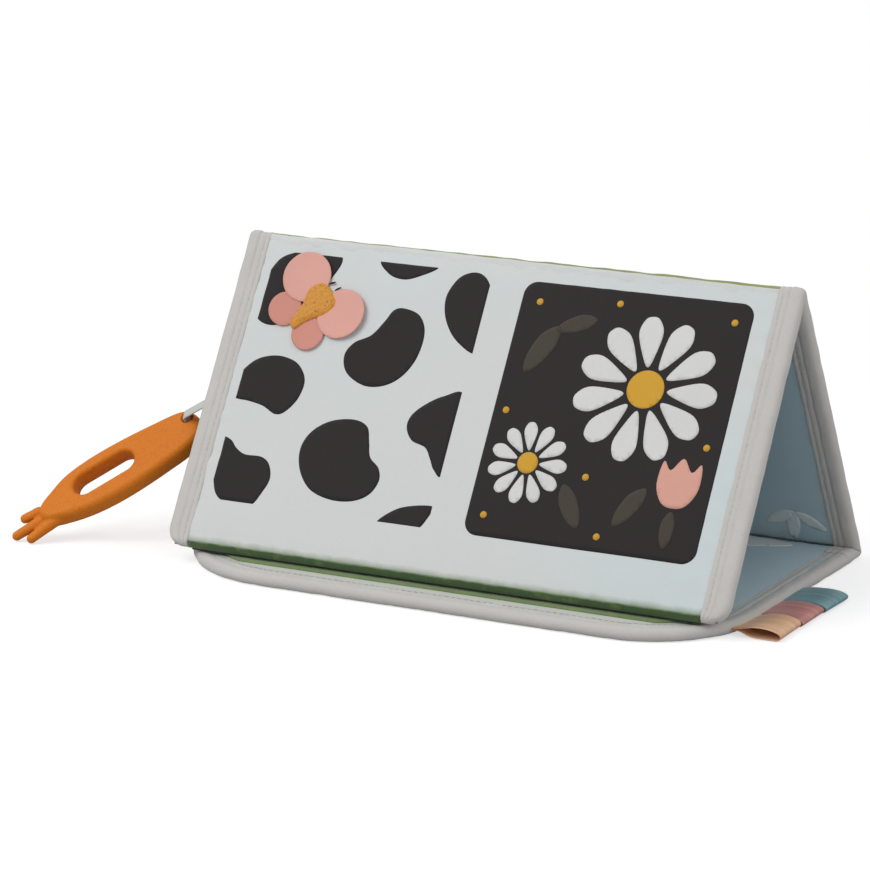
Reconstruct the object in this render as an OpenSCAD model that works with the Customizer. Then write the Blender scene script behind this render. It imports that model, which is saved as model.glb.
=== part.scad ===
// Soft activity book: three padded cloth pages folded into a standing tent.
// X runs along the book, +Y points to the back, +Z up. The origin lies on the
// floor, at the middle of the base page's underside.

/* [Pages] */
// Length of every page along its folds
book_length = 280; // [220:1:340]
// Height of the back page, from fold to fold
page_pitch = 152; // [120:1:185]
// How much lower the front page's foot ends than a full page
foot_short = 3.5; // [1:0.5:8]
// Angle between the back page and the base
back_lean = 61.75; // [55:0.25:68]
// Width of the base that shows in front of the front page
base_ledge = 18; // [10:1:30]
// Radius of the base's free corner on the right
base_corner_right = 50; // [32:1:60]
// Radius of the base's free corner on the left
base_corner_left = 60; // [32:1:62]
// Thickness of the soft filling in a page
padding_t = 4; // [2.5:0.5:8]
// Thickness of a layer of page cloth
cloth_t = 0.5; // [0.3:0.1:1]
// Free gap between two pages where they meet at a fold
fold_gap = 0.35; // [0.3:0.05:1]

/* [Binding] */
// Width of the edge tape on each face
tape_w = 12; // [8:0.5:18]
// Thickness of the edge tape
tape_t = 0.5; // [0.3:0.1:1]
// Rounding of the front page's two lower corners
foot_corner = 9; // [4:0.5:12]

/* [Closure] */
// Thickness of the green fold strips
gutter_t = 1; // [0.6:0.1:1.6]
// Depth of the green strip sewn to the base, front to back
strip_depth = 30; // [22:1:40]
// How far that strip shows in front of the front page
strip_front = 2; // [1:0.5:5]
// Thickness of that strip
strip_t = 1; // [0.6:0.1:1.6]
// Thickness of the hook tape under the closing flap
hook_t = 0.5; // [0.4:0.1:1.2]
// Thickness of the closing flap
flap_t = 0.6; // [0.4:0.1:1.2]
// Depth of the closing flap, front to back
flap_depth = 24; // [16:1:32]
// Air between the hook tape and the strip below it
closure_gap = 0.2; // [0.1:0.05:0.5]

/* [Front page prints] */
// Thickness of a printed field
ink_t = 0.2; // [0.1:0.05:0.4]
// Height of both printed squares
print_h = 121.7; // [100:0.1:125]
// Distance from the ridge fold down to the printed squares
print_drop = 6.3; // [5.5:0.1:12]
// Width of the spotted field
spots_w = 113; // [90:1:118]
// Distance from the book's middle to the spotted field
spots_gap = 10; // [4:0.5:16]
// Width of the dark picture panel
panel_w = 112; // [90:1:116]
// Distance from the book's middle to the picture panel
panel_gap = 7.5; // [4:0.5:10]
// Corner radius of the picture panel
panel_corner = 6.5; // [2:0.5:12]
// Radius of the large flower in the panel
daisy_r = 34; // [26:1:38]
// Number of petals on each flower
petal_count = 11; // [8:1:14]

/* [Butterfly] */
// Thickness of a cloth wing
wing_t = 0.6; // [0.4:0.1:1]
// Radius of a large wing
wing_large_r = 12.3; // [9:0.1:14]
// Radius of a small wing
wing_small_r = 8.6; // [6:0.1:10]
// Radius of the embroidered head
head_r = 7.6; // [5:0.1:9]
// Thickness of the embroidered body
body_t = 1.2; // [0.8:0.1:2]

/* [Ribbon tags] */
// Width of a ribbon
ribbon_w = 24; // [15:0.5:26]
// How far a ribbon loop stands out from the base's edge
ribbon_out = 20; // [12:1:30]
// Thickness of the ribbon
ribbon_t = 0.5; // [0.3:0.1:1]
// Height of the open end of a ribbon loop
ribbon_loop_h = 4.4; // [3:0.2:6]
// Distance from the book's middle back to the rearmost ribbon edge
ribbon_back = 18.5; // [0:0.5:40]

/* [Teether] */
// Thickness of the teether
teether_t = 10; // [7:0.5:13]
// Factor on the teether's outline
teether_size = 1; // [0.8:0.05:1.05]
// Length of the grip hole
grip_length = 32; // [26:1:36]
// Width of the grip hole
grip_width = 12; // [8:0.5:13]
// Radius of a stub at the lower end
stub_r = 2.3; // [1.5:0.1:2.6]
// Radius of the ribbon hole at the upper end
eye_r = 3; // [2.9:0.1:3.4]
// How far down the front page's edge the loop is sewn in
seam_drop = 83.2; // [60:0.1:110]
// Turn of the teether about the upright
teether_turn = -145.2; // [-160:0.1:-130]
// Roll of the teether about its own length
teether_roll = -33; // [-45:1:-20]
// Width of the loop's ribbon
loop_w = 4.6; // [3:0.1:4.8]
// Thickness of the loop's ribbon
loop_t = 1; // [0.6:0.1:1.2]

/* [Hidden] */
$fn = 48;

page_t = padding_t + 2 * cloth_t;
bound_t = page_t + 2 * tape_t;
half_length = book_length / 2;
edge_r = bound_t / 2;
over = 1;

front_reach = page_pitch - foot_short;
base_mid = bound_t / 2;
foot_rest = page_t / 2 + base_mid + strip_t + closure_gap + hook_t + flap_t;
foot_z = foot_rest + page_t / 2;
ridge_z = base_mid + page_pitch * sin(back_lean);
front_slope = asin((ridge_z - foot_z) / front_reach);
spread = page_pitch * cos(back_lean) + front_reach * cos(front_slope);
base_depth = spread + page_t / 2 + base_ledge;
back_y = base_depth / 2;
ridge_y = back_y - page_pitch * cos(back_lean);
foot_y = ridge_y - front_reach * cos(front_slope);

ridge_fold = 180 - front_slope - back_lean;
tight_fold = min(ridge_fold, back_lean);
gutter_reach = (page_t + fold_gap) / (2 * sin(tight_fold / 2));
gutter_end = gutter_reach - page_t / 2;
cloth_half = half_length - edge_r;
inner_half = half_length - tape_w;
face = page_t / 2;

cloth_white = [0.82, 0.86, 0.86];
cloth_blue = [0.66, 0.77, 0.80];
tape_grey = [0.76, 0.75, 0.73];
leaf_green = [0.24, 0.40, 0.12];
ink_black = [0.11, 0.10, 0.10];
ink_gold = [0.86, 0.66, 0.20];
wing_pink = [0.86, 0.62, 0.58];
moulded_orange = [0.88, 0.50, 0.10];

// Each page is drawn flat, with its fold on the X axis and +Z outwards.
module on_front() {
  translate([0, ridge_y, ridge_z]) rotate([front_slope, 0, 0]) children();
}
module on_back() {
  translate([0, ridge_y, ridge_z]) rotate([-back_lean, 0, 0]) children();
}
module on_base() {
  translate([0, back_y, base_mid]) children();
}
module along_x(length) {
  rotate([90, 0, 90]) linear_extrude(length, center = true) children();
}

// Side view of a page that runs towards -Y between two distances from its fold.
module page_side(t, near, far, round_far = true) {
  translate([-far, -t / 2]) square([far - near, t]);
  translate([-near, 0]) circle(t / 2);
  if (round_far) translate([-far, 0]) circle(t / 2);
}

// Plan view with its two free corners rounded.
module page_plan(half, far, left, right) {
  translate([left - half, -far]) square([2 * half - left - right, far + over]);
  translate([-half, left - far]) square([half, far - left + over]);
  translate([0, right - far]) square([half, far - right + over]);
  translate([left - half, left - far]) circle(left);
  translate([half - right, right - far]) circle(right);
}
module base_plan(half, far, inset) {
  page_plan(half, far, base_corner_left - inset, base_corner_right - inset);
}

module slab(t, near, far, round_far = true) {
  along_x(2 * cloth_half) page_side(t, near, far, round_far);
}

module skin(near, far, round_far, outward) {
  difference() {
    slab(page_t, near, far, round_far);
    slab(padding_t, near, far, round_far);
    translate([-book_length, -far - page_t, outward > 0 ? -page_t : 0])
      cube([2 * book_length, far + 2 * page_t, page_t]);
  }
}

module edge_profile() {
  translate([edge_r, 0]) circle(edge_r);
  translate([edge_r, -edge_r]) square([tape_w - edge_r, bound_t]);
}

// A solid edge along -Y from the fold whose outer side lies at x = half_length.
module edge_bar(far) {
  translate([half_length, 0, 0]) rotate([90, 0, 0])
    linear_extrude(far) mirror([1, 0]) edge_profile();
}

// What an edge leaves free at a fold, so that two pages meet there without touching.
module fold_wedge(fold) {
  start = fold_gap / (2 * sin(fold / 2));
  along_x(3 * half_length)
    polygon([[-start, 0], [-start - bound_t / tan(fold / 2), -bound_t], [over, -bound_t],
      [over, 0]]);
}

// Base page
base_free = base_depth - edge_r;
base_near = gutter_reach;

module base_plan_cut() {
  intersection() {
    children();
    translate([0, 0, -page_t])
      linear_extrude(2 * page_t) base_plan(cloth_half, base_free, edge_r);
  }
}
module base_slab(t, near) {
  base_plan_cut() slab(t, near, base_free, false);
}
module base_padding() {
  color(cloth_white) on_base() base_slab(padding_t, base_near);
}
module base_inner_cloth() {
  color(cloth_blue) on_base() base_plan_cut() skin(base_near, base_free, false, 1);
}
// The underside is fuller than the edges, so the book rests on it.
module base_outer_cloth() {
  color(cloth_white) on_base() {
    base_plan_cut() skin(base_near, base_free, false, -1);
    translate([0, 0, -edge_r]) linear_extrude(tape_t) intersection() {
      base_plan(inner_half, base_depth - tape_w, tape_w);
      translate([-half_length, -base_depth]) square([book_length, base_depth - base_near]);
    }
  }
}
module base_binding() {
  color(tape_grey) on_base() difference() {
    union() {
      for (side = [0, 1]) mirror([side, 0, 0]) let (r = [base_corner_right, base_corner_left][side]) {
        translate([half_length - r, r - base_depth, 0]) {
          mirror([0, 1, 0]) rotate_extrude(angle = 90)
            translate([r, 0]) mirror([1, 0]) edge_profile();
          translate([r, 0, 0]) rotate([-90, 0, 0])
            linear_extrude(base_depth - r) mirror([1, 0]) edge_profile();
        }
      }
      translate([(base_corner_left - base_corner_right) / 2, -base_depth, 0])
        along_x(book_length - base_corner_left - base_corner_right) edge_profile();
    }
    base_slab(page_t, -over);
    mirror([0, 0, 1]) fold_wedge(back_lean);
  }
}

// Closure on the base and under the foot of the front page
strip_start = foot_y - face - strip_front;
module closure_strip() {
  color(leaf_green) on_base() translate([0, 0, face]) linear_extrude(strip_t) intersection() {
    base_plan(inner_half, base_depth - tape_w, tape_w);
    translate([-inner_half, strip_start - back_y]) square([2 * inner_half, strip_depth]);
  }
}
module closing_flap() {
  color(leaf_green) translate([-inner_half, foot_y - face, foot_rest - flap_t])
    cube([2 * inner_half, flap_depth, flap_t]);
}
module hook_tape() {
  inset = 1.5;
  color("dimgray")
    translate([inset - inner_half, foot_y - face + inset, foot_rest - flap_t - hook_t])
      cube([2 * (inner_half - inset), flap_depth - 2 * inset, hook_t]);
}

// Back page
back_far = page_pitch - gutter_reach;
module back_flat() {
  on_back() mirror([0, 1, 0]) children();
}
module back_padding() {
  color(cloth_white) back_flat() slab(padding_t, gutter_reach, back_far);
}
module back_inner_cloth() {
  color(cloth_blue) back_flat() skin(gutter_reach, back_far, true, -1);
}
module back_outer_cloth() {
  color(cloth_white) back_flat() skin(gutter_reach, back_far, true, 1);
}
module back_binding(side) {
  color(tape_grey) back_flat() mirror([side, 0, 0]) difference() {
    edge_bar(page_pitch);
    slab(page_t, -over, page_pitch + over);
    fold_wedge(ridge_fold);
    translate([0, -page_pitch, 0]) mirror([0, 1, 0]) fold_wedge(back_lean);
  }
}
module back_binding_left() { back_binding(1); }
module back_binding_right() { back_binding(0); }

// Front page
module front_cut(inset) {
  intersection() {
    children();
    translate([0, 0, -bound_t]) linear_extrude(2 * bound_t)
      page_plan(half_length - inset, front_reach + edge_r - inset, foot_corner - inset,
        foot_corner - inset);
  }
}
module front_padding() {
  color(cloth_white) on_front() front_cut(edge_r) slab(padding_t, gutter_reach, front_reach);
}
module front_inner_cloth() {
  color(cloth_blue) on_front() front_cut(tape_t) skin(gutter_reach, front_reach, true, -1);
}
module front_outer_cloth() {
  color(cloth_white) on_front() front_cut(tape_t) skin(gutter_reach, front_reach, true, 1);
}
module front_binding(side) {
  color(tape_grey) on_front() mirror([side, 0, 0]) difference() {
    front_cut(0) intersection() {
      edge_bar(front_reach + edge_r);
      along_x(book_length) page_side(bound_t, 0, front_reach);
    }
    front_cut(tape_t) slab(page_t, -over, front_reach);
    fold_wedge(ridge_fold);
  }
}
module front_binding_left() { front_binding(1); }
module front_binding_right() { front_binding(0); }

// Folds: a green strip along the middle, and the edge tape at each end
module fold_side(t, reach, turn_a, turn_b) {
  circle(t / 2);
  for (turn = [turn_a, turn_b]) rotate(turn) translate([0, -t / 2]) square([reach, t]);
}
module gutter(turn_a, turn_b) {
  color(leaf_green) along_x(2 * cloth_half)
    fold_side(gutter_t, gutter_end, turn_a, turn_b);
}
// The edge tape turns round the outside of a fold.
module wrap(fold, side) {
  color(tape_grey) mirror([side, 0, 0]) rotate([90, 0, 90]) rotate([0, 0, fold - 90])
    rotate_extrude(angle = 180 - fold) difference() {
      intersection() {
        translate([0, half_length]) rotate(-90) edge_profile();
        translate([0, inner_half]) square([edge_r, tape_w]);
      }
      translate([-over, inner_half - over]) square([face + over, tape_w - edge_r + over]);
    }
}
module ridge_gutter() { on_front() gutter(180, 180 + ridge_fold); }
module ridge_wrap_left() { on_front() wrap(ridge_fold, 1); }
module ridge_wrap_right() { on_front() wrap(ridge_fold, 0); }
module back_gutter() { on_base() gutter(180, 180 - back_lean); }
module back_wrap_left() { on_base() mirror([0, 0, 1]) wrap(back_lean, 1); }
module back_wrap_right() { on_base() mirror([0, 0, 1]) wrap(back_lean, 0); }

// Prints: points are [x, distance below the ridge fold]
function blend4(a, b, c, d, t) =
  0.5 * (2 * b + (c - a) * t + (2 * a - 5 * b + 4 * c - d) * t * t
    + (3 * b - a - 3 * c + d) * t * t * t);
function smooth(points, steps = 5) = let (n = len(points)) [
  for (i = [0:n - 1]) for (k = [0:steps - 1])
    blend4(points[(i + n - 1) % n], points[i], points[(i + 1) % n],
      points[(i + 2) % n], k / steps)];

module printed(level = 0) {
  on_front() mirror([0, 1, 0])
    translate([0, 0, face + level * ink_t]) linear_extrude(ink_t) children();
}

spot_outlines = [
  [[-123.5, 17], [-119, 9.5], [-110, 5.5], [-99, 4], [-90, 4.5], [-87.3, 9], [-90.5, 17.5],
    [-95, 27], [-102, 37], [-113, 42.5], [-122, 41], [-127, 34], [-127, 24]],
  [[-67.5, 5.5], [-62, 11.8], [-54, 13.8], [-46, 11.3], [-38, 5.8], [-52, 2]],
  [[-19.5, 6.8], [-26, 10], [-30, 18.5], [-29, 27], [-24.5, 35], [-18, 41], [-9, 45],
    [-5, 38], [-5.5, 24], [-9.5, 13], [-14, 8]],
  [[-49.5, 27.5], [-41, 30], [-36.3, 38], [-37, 50], [-42, 59.5], [-50, 65], [-60, 66],
    [-70, 61], [-73.3, 53], [-70, 46.5], [-62.5, 42], [-57.5, 34.5], [-54.5, 29]],
  [[-104, 57], [-95.5, 59.8], [-90, 67], [-91, 76], [-96, 83], [-101, 84.6], [-108, 81.5],
    [-116, 80], [-124, 79], [-128, 73], [-123.5, 66], [-118.5, 60.5], [-112, 57.6]],
  [[-9, 64.5], [-18, 66.3], [-26, 71], [-31.8, 77], [-32.7, 83], [-28.5, 88.8], [-21, 91.3],
    [-17, 96.5], [-14, 101], [-9, 103], [-5, 84]],
  [[-124.5, 98.8], [-119.5, 99.4], [-115.8, 102.8], [-110.5, 105.3], [-102, 105.4],
    [-97, 108.4], [-94.4, 115], [-96.5, 122], [-101, 129], [-112, 129.5], [-119.5, 126],
    [-123.5, 118], [-127, 108]],
  [[-60, 82.5], [-52.5, 85], [-49.5, 92], [-47, 99], [-41.5, 103.5], [-39.6, 109.5],
    [-43, 116.5], [-51, 120.5], [-62, 121], [-73, 117.5], [-80.5, 109], [-83, 99],
    [-79.5, 90.5], [-71, 84.5]],
  [[-35.5, 129], [-28.5, 122], [-20, 118.8], [-9.5, 117.8], [-10.5, 122.5], [-15, 129.5],
    [-25, 131]]];

module spot_print() {
  color(ink_black) printed() intersection() {
    translate([-spots_gap - spots_w, print_drop]) square([spots_w, print_h]);
    for (outline = spot_outlines) polygon(smooth(outline));
  }
}

module rounded_square(width, height, r) {
  translate([r, 0]) square([width - 2 * r, height]);
  translate([0, r]) square([width, height - 2 * r]);
  for (x = [r, width - r]) for (y = [r, height - r]) translate([x, y]) circle(r);
}
module picture_panel() {
  color(ink_black) printed() translate([panel_gap, print_drop + 1.5])
    rounded_square(panel_w, print_h - 1.5, panel_corner);
}

// The dark panel's picture is drawn for a panel 112 by 121.7 and follows its real size.
panel_mid = [panel_gap + panel_w / 2, print_drop + print_h / 2];
panel_scale = [panel_w / 112, print_h / 121.7];
panel_unit = min(panel_scale[0], panel_scale[1]);
function on_panel(x, drop) = panel_mid + [x * panel_scale[0], drop * panel_scale[1]];
// Flowers: [place, radius]
flowers = [[on_panel(14, -15), daisy_r], [on_panel(-33, 25), daisy_r * 0.56]];
function petal(r) = smooth([[0.3 * r, 0], [0.5 * r, 0.1 * r], [0.78 * r, 0.17 * r],
  [0.96 * r, 0.1 * r], [r, 0], [0.96 * r, -0.1 * r], [0.78 * r, -0.17 * r],
  [0.5 * r, -0.1 * r]]);
module at_flowers() {
  for (flower = flowers) translate(flower[0]) let ($r = flower[1]) children();
}
module petal_print() {
  color("white") printed(1) at_flowers() {
    for (i = [0:petal_count - 1]) rotate(i * 360 / petal_count) polygon(petal($r));
  }
}
module flower_hearts() {
  color(ink_gold) printed(2) at_flowers() circle($r * 0.26);
}
tulip_at = on_panel(40, 27);
tulip_outline = [[-9, -11], [-5, -7], [0, -13], [5, -7], [9, -11], [10, 0], [6, 8], [0, 10],
  [-6, 8], [-10, 0]] * panel_unit;
module tulip_print() {
  color(wing_pink) printed(1) translate(tulip_at) polygon(smooth(tulip_outline, 3));
}
// Stalks and leaves in a muted brown-grey, each a leaf outline laid along a line: [place, length, turn]
leaves = [[on_panel(-8, 42), 22, 60], [on_panel(-40, -28), 26, 118], [on_panel(-26, -41), 20, 160],
  [on_panel(20, 39), 22, 122], [on_panel(40, 47), 17, 90]];
function leaf(length) = smooth([[-length / 2, 0], [-length / 5, length / 5],
  [length / 4, length / 6], [length / 2, 0], [length / 4, -length / 7],
  [-length / 5, -length / 6]]);
module stalk_print() {
  color([0.28, 0.25, 0.22]) printed(1)
    for (l = leaves) translate(l[0]) rotate(l[2]) polygon(leaf(l[1] * panel_unit));
}
seeds = [[-47, -50], [-8, -53], [48, -50], [49, 8], [-50, 2], [-4, 28], [-48, 51], [8, 54]];
module seed_print() {
  color(ink_gold) printed(1)
    for (seed = seeds) translate(on_panel(seed[0], seed[1])) circle(1.6 * panel_unit);
}

// Pale shapes on the insides of the base and back pages
cloud_outline = [[-30, 0], [-22, -9], [-8, -7], [4, -12], [18, -8], [28, 0], [16, 7], [-2, 9],
  [-18, 7]];
module cloud_print() {
  color("white") translate([84, back_y - 14, base_mid + face]) linear_extrude(ink_t)
    polygon(smooth(cloud_outline));
}
module leaf_print() {
  color("white") on_back() translate([112, page_pitch - 23, -face - ink_t])
    linear_extrude(ink_t) for (turn = [35, 100, 150]) rotate(turn)
      translate([9, 0]) polygon(leaf(17));
}

// Butterfly sewn over the first spot, [x, drop] of each part
wing_level = face + ink_t + 0.05;
wing_step = wing_t + 0.05;
head_at = [-93.8, 28];
tail_at = [-104.5, 41];
module sewn(level, t) {
  on_front() mirror([0, 1, 0]) translate([0, 0, wing_level + level * wing_step])
    linear_extrude(t) children();
}
module wing(at, r, squeeze, turn) {
  outline = [for (a = [0:15:345]) [cos(a) * r, sin(a) * r * squeeze]];
  color(wing_pink) sewn(r == wing_large_r ? 1 : 0, wing_t)
    translate(at) rotate(turn) polygon(outline);
}
module wing_upper() { wing([-103.6, 19], wing_large_r, 0.98, 20); }
module wing_right() { wing([-81.4, 33.2], wing_large_r, 0.98, 20); }
module wing_left() { wing([-110, 34], wing_small_r, 0.95, 40); }
module wing_lower() { wing([-95, 43.6], wing_small_r, 0.95, 40); }
module butterfly_body() {
  color(moulded_orange) sewn(2, body_t) polygon(smooth([
    head_at + [head_r, 0], head_at + [head_r * 0.6, head_r * 0.75],
    head_at + [-head_r * 0.2, head_r * 1.15], tail_at + [4, -1.5], tail_at + [-0.6, 2.2],
    tail_at + [-3, -2], head_at + [-head_r * 1.05, head_r * 0.35],
    head_at + [-head_r * 0.85, -head_r * 0.6], head_at + [0, -head_r]]));
}
feeler_length = 3.6;
feeler_w = 1.1;
module butterfly_feelers() {
  color(ink_black) sewn(0, wing_t)
    for (feeler = [[-89.8, 18.6, -8], [-85.2, 21.2, -32]])
      translate([feeler[0], feeler[1]]) rotate(feeler[2])
        translate([-feeler_length / 2, -feeler_w / 2]) square([feeler_length, feeler_w]);
}

// Ribbon tags on the right edge of the base
ribbon_space = 0.2;
ribbon_free = 0.05;
ribbon_root = 6;
module ribbon_side(shrink) {
  hull() {
    translate([-ribbon_root, base_mid]) circle(1.2 - shrink);
    translate([ribbon_out - ribbon_loop_h / 2, ribbon_loop_h / 2 + ribbon_free])
      circle(ribbon_loop_h / 2 - shrink);
  }
}
module ribbon(place) {
  difference() {
    translate([half_length, ribbon_back - place * (ribbon_w + ribbon_space), 0])
      rotate([90, 0, 0]) linear_extrude(ribbon_w) difference() {
        ribbon_side(0);
        ribbon_side(ribbon_t);
      }
    on_base() translate([0, 0, -bound_t]) linear_extrude(2 * bound_t)
      base_plan(half_length + ribbon_free, base_depth + ribbon_free, -ribbon_free);
  }
}
module ribbon_teal() { color([0.40, 0.60, 0.62]) ribbon(0); }
module ribbon_pink() { color([0.80, 0.52, 0.50]) ribbon(1); }
module ribbon_peach() { color([0.89, 0.71, 0.56]) ribbon(2); }

// Teether: its length runs along its own +X, its flat faces point along its Z
seam = [-half_length, ridge_y - seam_drop * cos(front_slope),
  ridge_z - seam_drop * sin(front_slope)];
teether_at = seam + [-12, 6.3, -15.8];
stub_ends = [[87.5, -5.7], [94.3, 1.0], [88.7, 7.2]] * teether_size;
low_stub = stub_ends[2];
low_lever = low_stub[1] * sin(teether_roll);
stub_clear = 0.05;
teether_dip = asin((teether_at[2] - stub_r - stub_clear) / norm([low_stub[0], low_lever]))
  + atan2(low_lever, low_stub[0]);
eye_at = [-2.2, -4];
grip_at = [44.3, -1.9] * teether_size;
teether_outline = smooth([[-7, 0], [-4, 7], [4.6, 10.8], [17, 12.4], [32, 13.6], [45, 13.6],
  [58, 12], [70, 8.4], [79, 3.6], [79, -3.6], [70, -9.4], [61, -13.3], [48, -15], [32, -14.8],
  [14, -13], [0, -10.8], [-5, -7]] * teether_size, 3);
edge_round = 3.5;

module on_teether() {
  translate(teether_at) rotate([0, 0, teether_turn]) rotate([0, teether_dip, 0])
    rotate([teether_roll, 0, 0]) children();
}
module grip_slot() {
  straight = grip_length - grip_width;
  translate([grip_at[0], grip_at[1], -teether_t]) linear_extrude(2 * teether_t) {
    square([straight, grip_width], center = true);
    for (side = [-1, 1]) translate([side * straight / 2, 0]) circle(grip_width / 2);
  }
}
// A round-ended pin from inside the body to one of the stub ends.
stub_root = 70 * teether_size;
module stub(end) {
  run = [end[0] - stub_root, end[1] * 0.2];
  translate([end[0], end[1], 0]) rotate([0, -90, atan2(run[1], run[0])])
    rotate_extrude(angle = 360) {
      square([stub_r, norm(run)]);
      intersection() {
        circle(stub_r);
        translate([0, -stub_r]) square(stub_r);
      }
    }
}
module teether() {
  mid = [36, -0.5] * teether_size;
  inner = [for (p = teether_outline) mid + (p - mid) * (1 - edge_round / 20)];
  color(moulded_orange) on_teether() {
    difference() {
      hull() {
        linear_extrude(teether_t - 2 * edge_round + 1, center = true) polygon(teether_outline);
        linear_extrude(teether_t, center = true) polygon(inner);
      }
      grip_slot();
      translate([eye_at[0], eye_at[1], -teether_t]) cylinder(h = 2 * teether_t, r = eye_r);
    }
    for (end = stub_ends) stub(end);
  }
}

// The loop runs through the eye, round the upper end and up to the page's edge.
to_seam = [-0.804, 0.597];
loop_low = teether_t / 2 + loop_t;
loop_corners = [[0.3, loop_low], [0.3, -loop_low], [8.4, -loop_low], [11.8, 12.6]];
module loop_side(r) {
  hull() for (corner = loop_corners) translate(corner) circle(r);
}
module teether_loop() {
  color([0.80, 0.81, 0.80]) on_teether() translate([eye_at[0], eye_at[1], 0])
    rotate([0, 0, atan2(to_seam[1], to_seam[0])]) rotate([90, 0, 0])
      linear_extrude(loop_w, center = true) difference() {
        loop_side(0.6 + loop_t);
        loop_side(0.6);
      }
}

base_padding();
base_inner_cloth();
base_outer_cloth();
base_binding();
closure_strip();
cloud_print();
back_padding();
back_inner_cloth();
back_outer_cloth();
back_binding_left();
back_binding_right();
leaf_print();
front_padding();
front_inner_cloth();
front_outer_cloth();
front_binding_left();
front_binding_right();
closing_flap();
hook_tape();
ridge_gutter();
back_gutter();
ridge_wrap_left();
ridge_wrap_right();
back_wrap_left();
back_wrap_right();
spot_print();
picture_panel();
petal_print();
flower_hearts();
tulip_print();
stalk_print();
seed_print();
wing_upper();
wing_right();
wing_lower();
wing_left();
butterfly_body();
butterfly_feelers();
ribbon_peach();
ribbon_pink();
ribbon_teal();
teether();
teether_loop();
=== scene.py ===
"""Soft activity book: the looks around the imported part, in the part's own frame."""
import itertools
import math

import bmesh
import bpy
import numpy as np
from mathutils import Matrix, Vector, geometry


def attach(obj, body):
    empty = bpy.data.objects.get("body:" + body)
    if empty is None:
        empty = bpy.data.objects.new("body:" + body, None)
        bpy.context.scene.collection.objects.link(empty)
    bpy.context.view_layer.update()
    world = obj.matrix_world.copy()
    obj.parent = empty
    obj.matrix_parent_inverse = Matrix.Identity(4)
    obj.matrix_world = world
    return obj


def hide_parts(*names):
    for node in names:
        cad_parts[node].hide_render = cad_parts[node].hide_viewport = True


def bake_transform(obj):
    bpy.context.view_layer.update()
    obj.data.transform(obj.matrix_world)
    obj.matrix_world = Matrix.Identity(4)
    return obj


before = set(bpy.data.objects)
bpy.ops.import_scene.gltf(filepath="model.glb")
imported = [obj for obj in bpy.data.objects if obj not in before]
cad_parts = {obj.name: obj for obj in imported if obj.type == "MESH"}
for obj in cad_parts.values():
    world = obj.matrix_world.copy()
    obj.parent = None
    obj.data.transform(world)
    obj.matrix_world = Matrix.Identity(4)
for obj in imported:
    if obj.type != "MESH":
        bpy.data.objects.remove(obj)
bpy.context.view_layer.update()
MM = 0.001

# Sizes, as in the part's source
HALF, PITCH, FOOT_SHORT, LEAN, LEDGE = 140.0, 152.0, 3.5, 61.75, 18.0
CORNER_LEFT, CORNER_RIGHT = 60.0, 50.0
FACE, EDGE_R, TAPE_W, FOOT_CORNER = 2.5, 3.0, 12.0, 9.0
STRIP_T, HOOK_T, FLAP_T, CLOSURE_GAP = 1.0, 0.5, 0.6, 0.2
FLAP_DEPTH, STRIP_DEPTH, STRIP_FRONT = 24.0, 30.0, 2.0
INNER = HALF - TAPE_W
REACH = PITCH - FOOT_SHORT
BASE_MID = EDGE_R
FOOT_REST = FACE + BASE_MID + STRIP_T + CLOSURE_GAP + HOOK_T + FLAP_T
FOOT_Z = FOOT_REST + FACE
lean = math.radians(LEAN)
RIDGE_Z = BASE_MID + PITCH * math.sin(lean)
slope = math.asin((RIDGE_Z - FOOT_Z) / REACH)
DEPTH = PITCH * math.cos(lean) + REACH * math.cos(slope) + FACE + LEDGE
BACK_Y = DEPTH / 2
RIDGE_Y = BACK_Y - PITCH * math.cos(lean)
FOOT_Y = RIDGE_Y - REACH * math.cos(slope)


def page_frame(body, origin, along, out):
    """Turns (x, distance from the fold, height outwards) on a page into the row's millimetres."""
    origin, along, out = (np.array(v, float) for v in (origin, along, out))

    def place(x, d, h):
        x, d, h = np.broadcast_arrays(*(np.asarray(v, float) for v in (x, d, h)))
        p = origin + d[..., None] * along + h[..., None] * out
        p[..., 0] += x
        return p
    place.body, place.along, place.out = body, along, out
    return place


RIDGE = (0, RIDGE_Y, RIDGE_Z)
BACK_FOLD = (0, BACK_Y, BASE_MID)
front = page_frame("front_page", RIDGE, (0, -math.cos(slope), -math.sin(slope)),
                   (0, -math.sin(slope), math.cos(slope)))
back = page_frame("back_page", RIDGE, (0, math.cos(lean), -math.sin(lean)),
                  (0, math.sin(lean), math.cos(lean)))
base = page_frame("base_page", BACK_FOLD, (0, -1, 0), (0, 0, 1))


# Small helpers
def rgb(r, g, b):
    """A colour written as it should render, turned to scene light."""
    c = [v / 255 for v in (r, g, b)]
    return [v / 12.92 if v <= 0.04045 else ((v + 0.055) / 1.055) ** 2.4 for v in c]


def ripples(seed, shortest, longest, count=18, squeeze=(1, 1)):
    """Smooth noise of unit size: waves of seeded directions and phases."""
    rng = np.random.default_rng(seed)
    turn = rng.uniform(0, 2 * np.pi, count)
    wave = 2 * np.pi / rng.uniform(shortest, longest, count)
    phase = rng.uniform(0, 2 * np.pi, count)
    kx, ky = wave * np.cos(turn) / squeeze[0], wave * np.sin(turn) / squeeze[1]

    def value(x, y):
        x, y = np.asarray(x, float), np.asarray(y, float)
        return np.sin(x[..., None] * kx + y[..., None] * ky + phase).sum(-1) / math.sqrt(count / 2)
    return value


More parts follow.
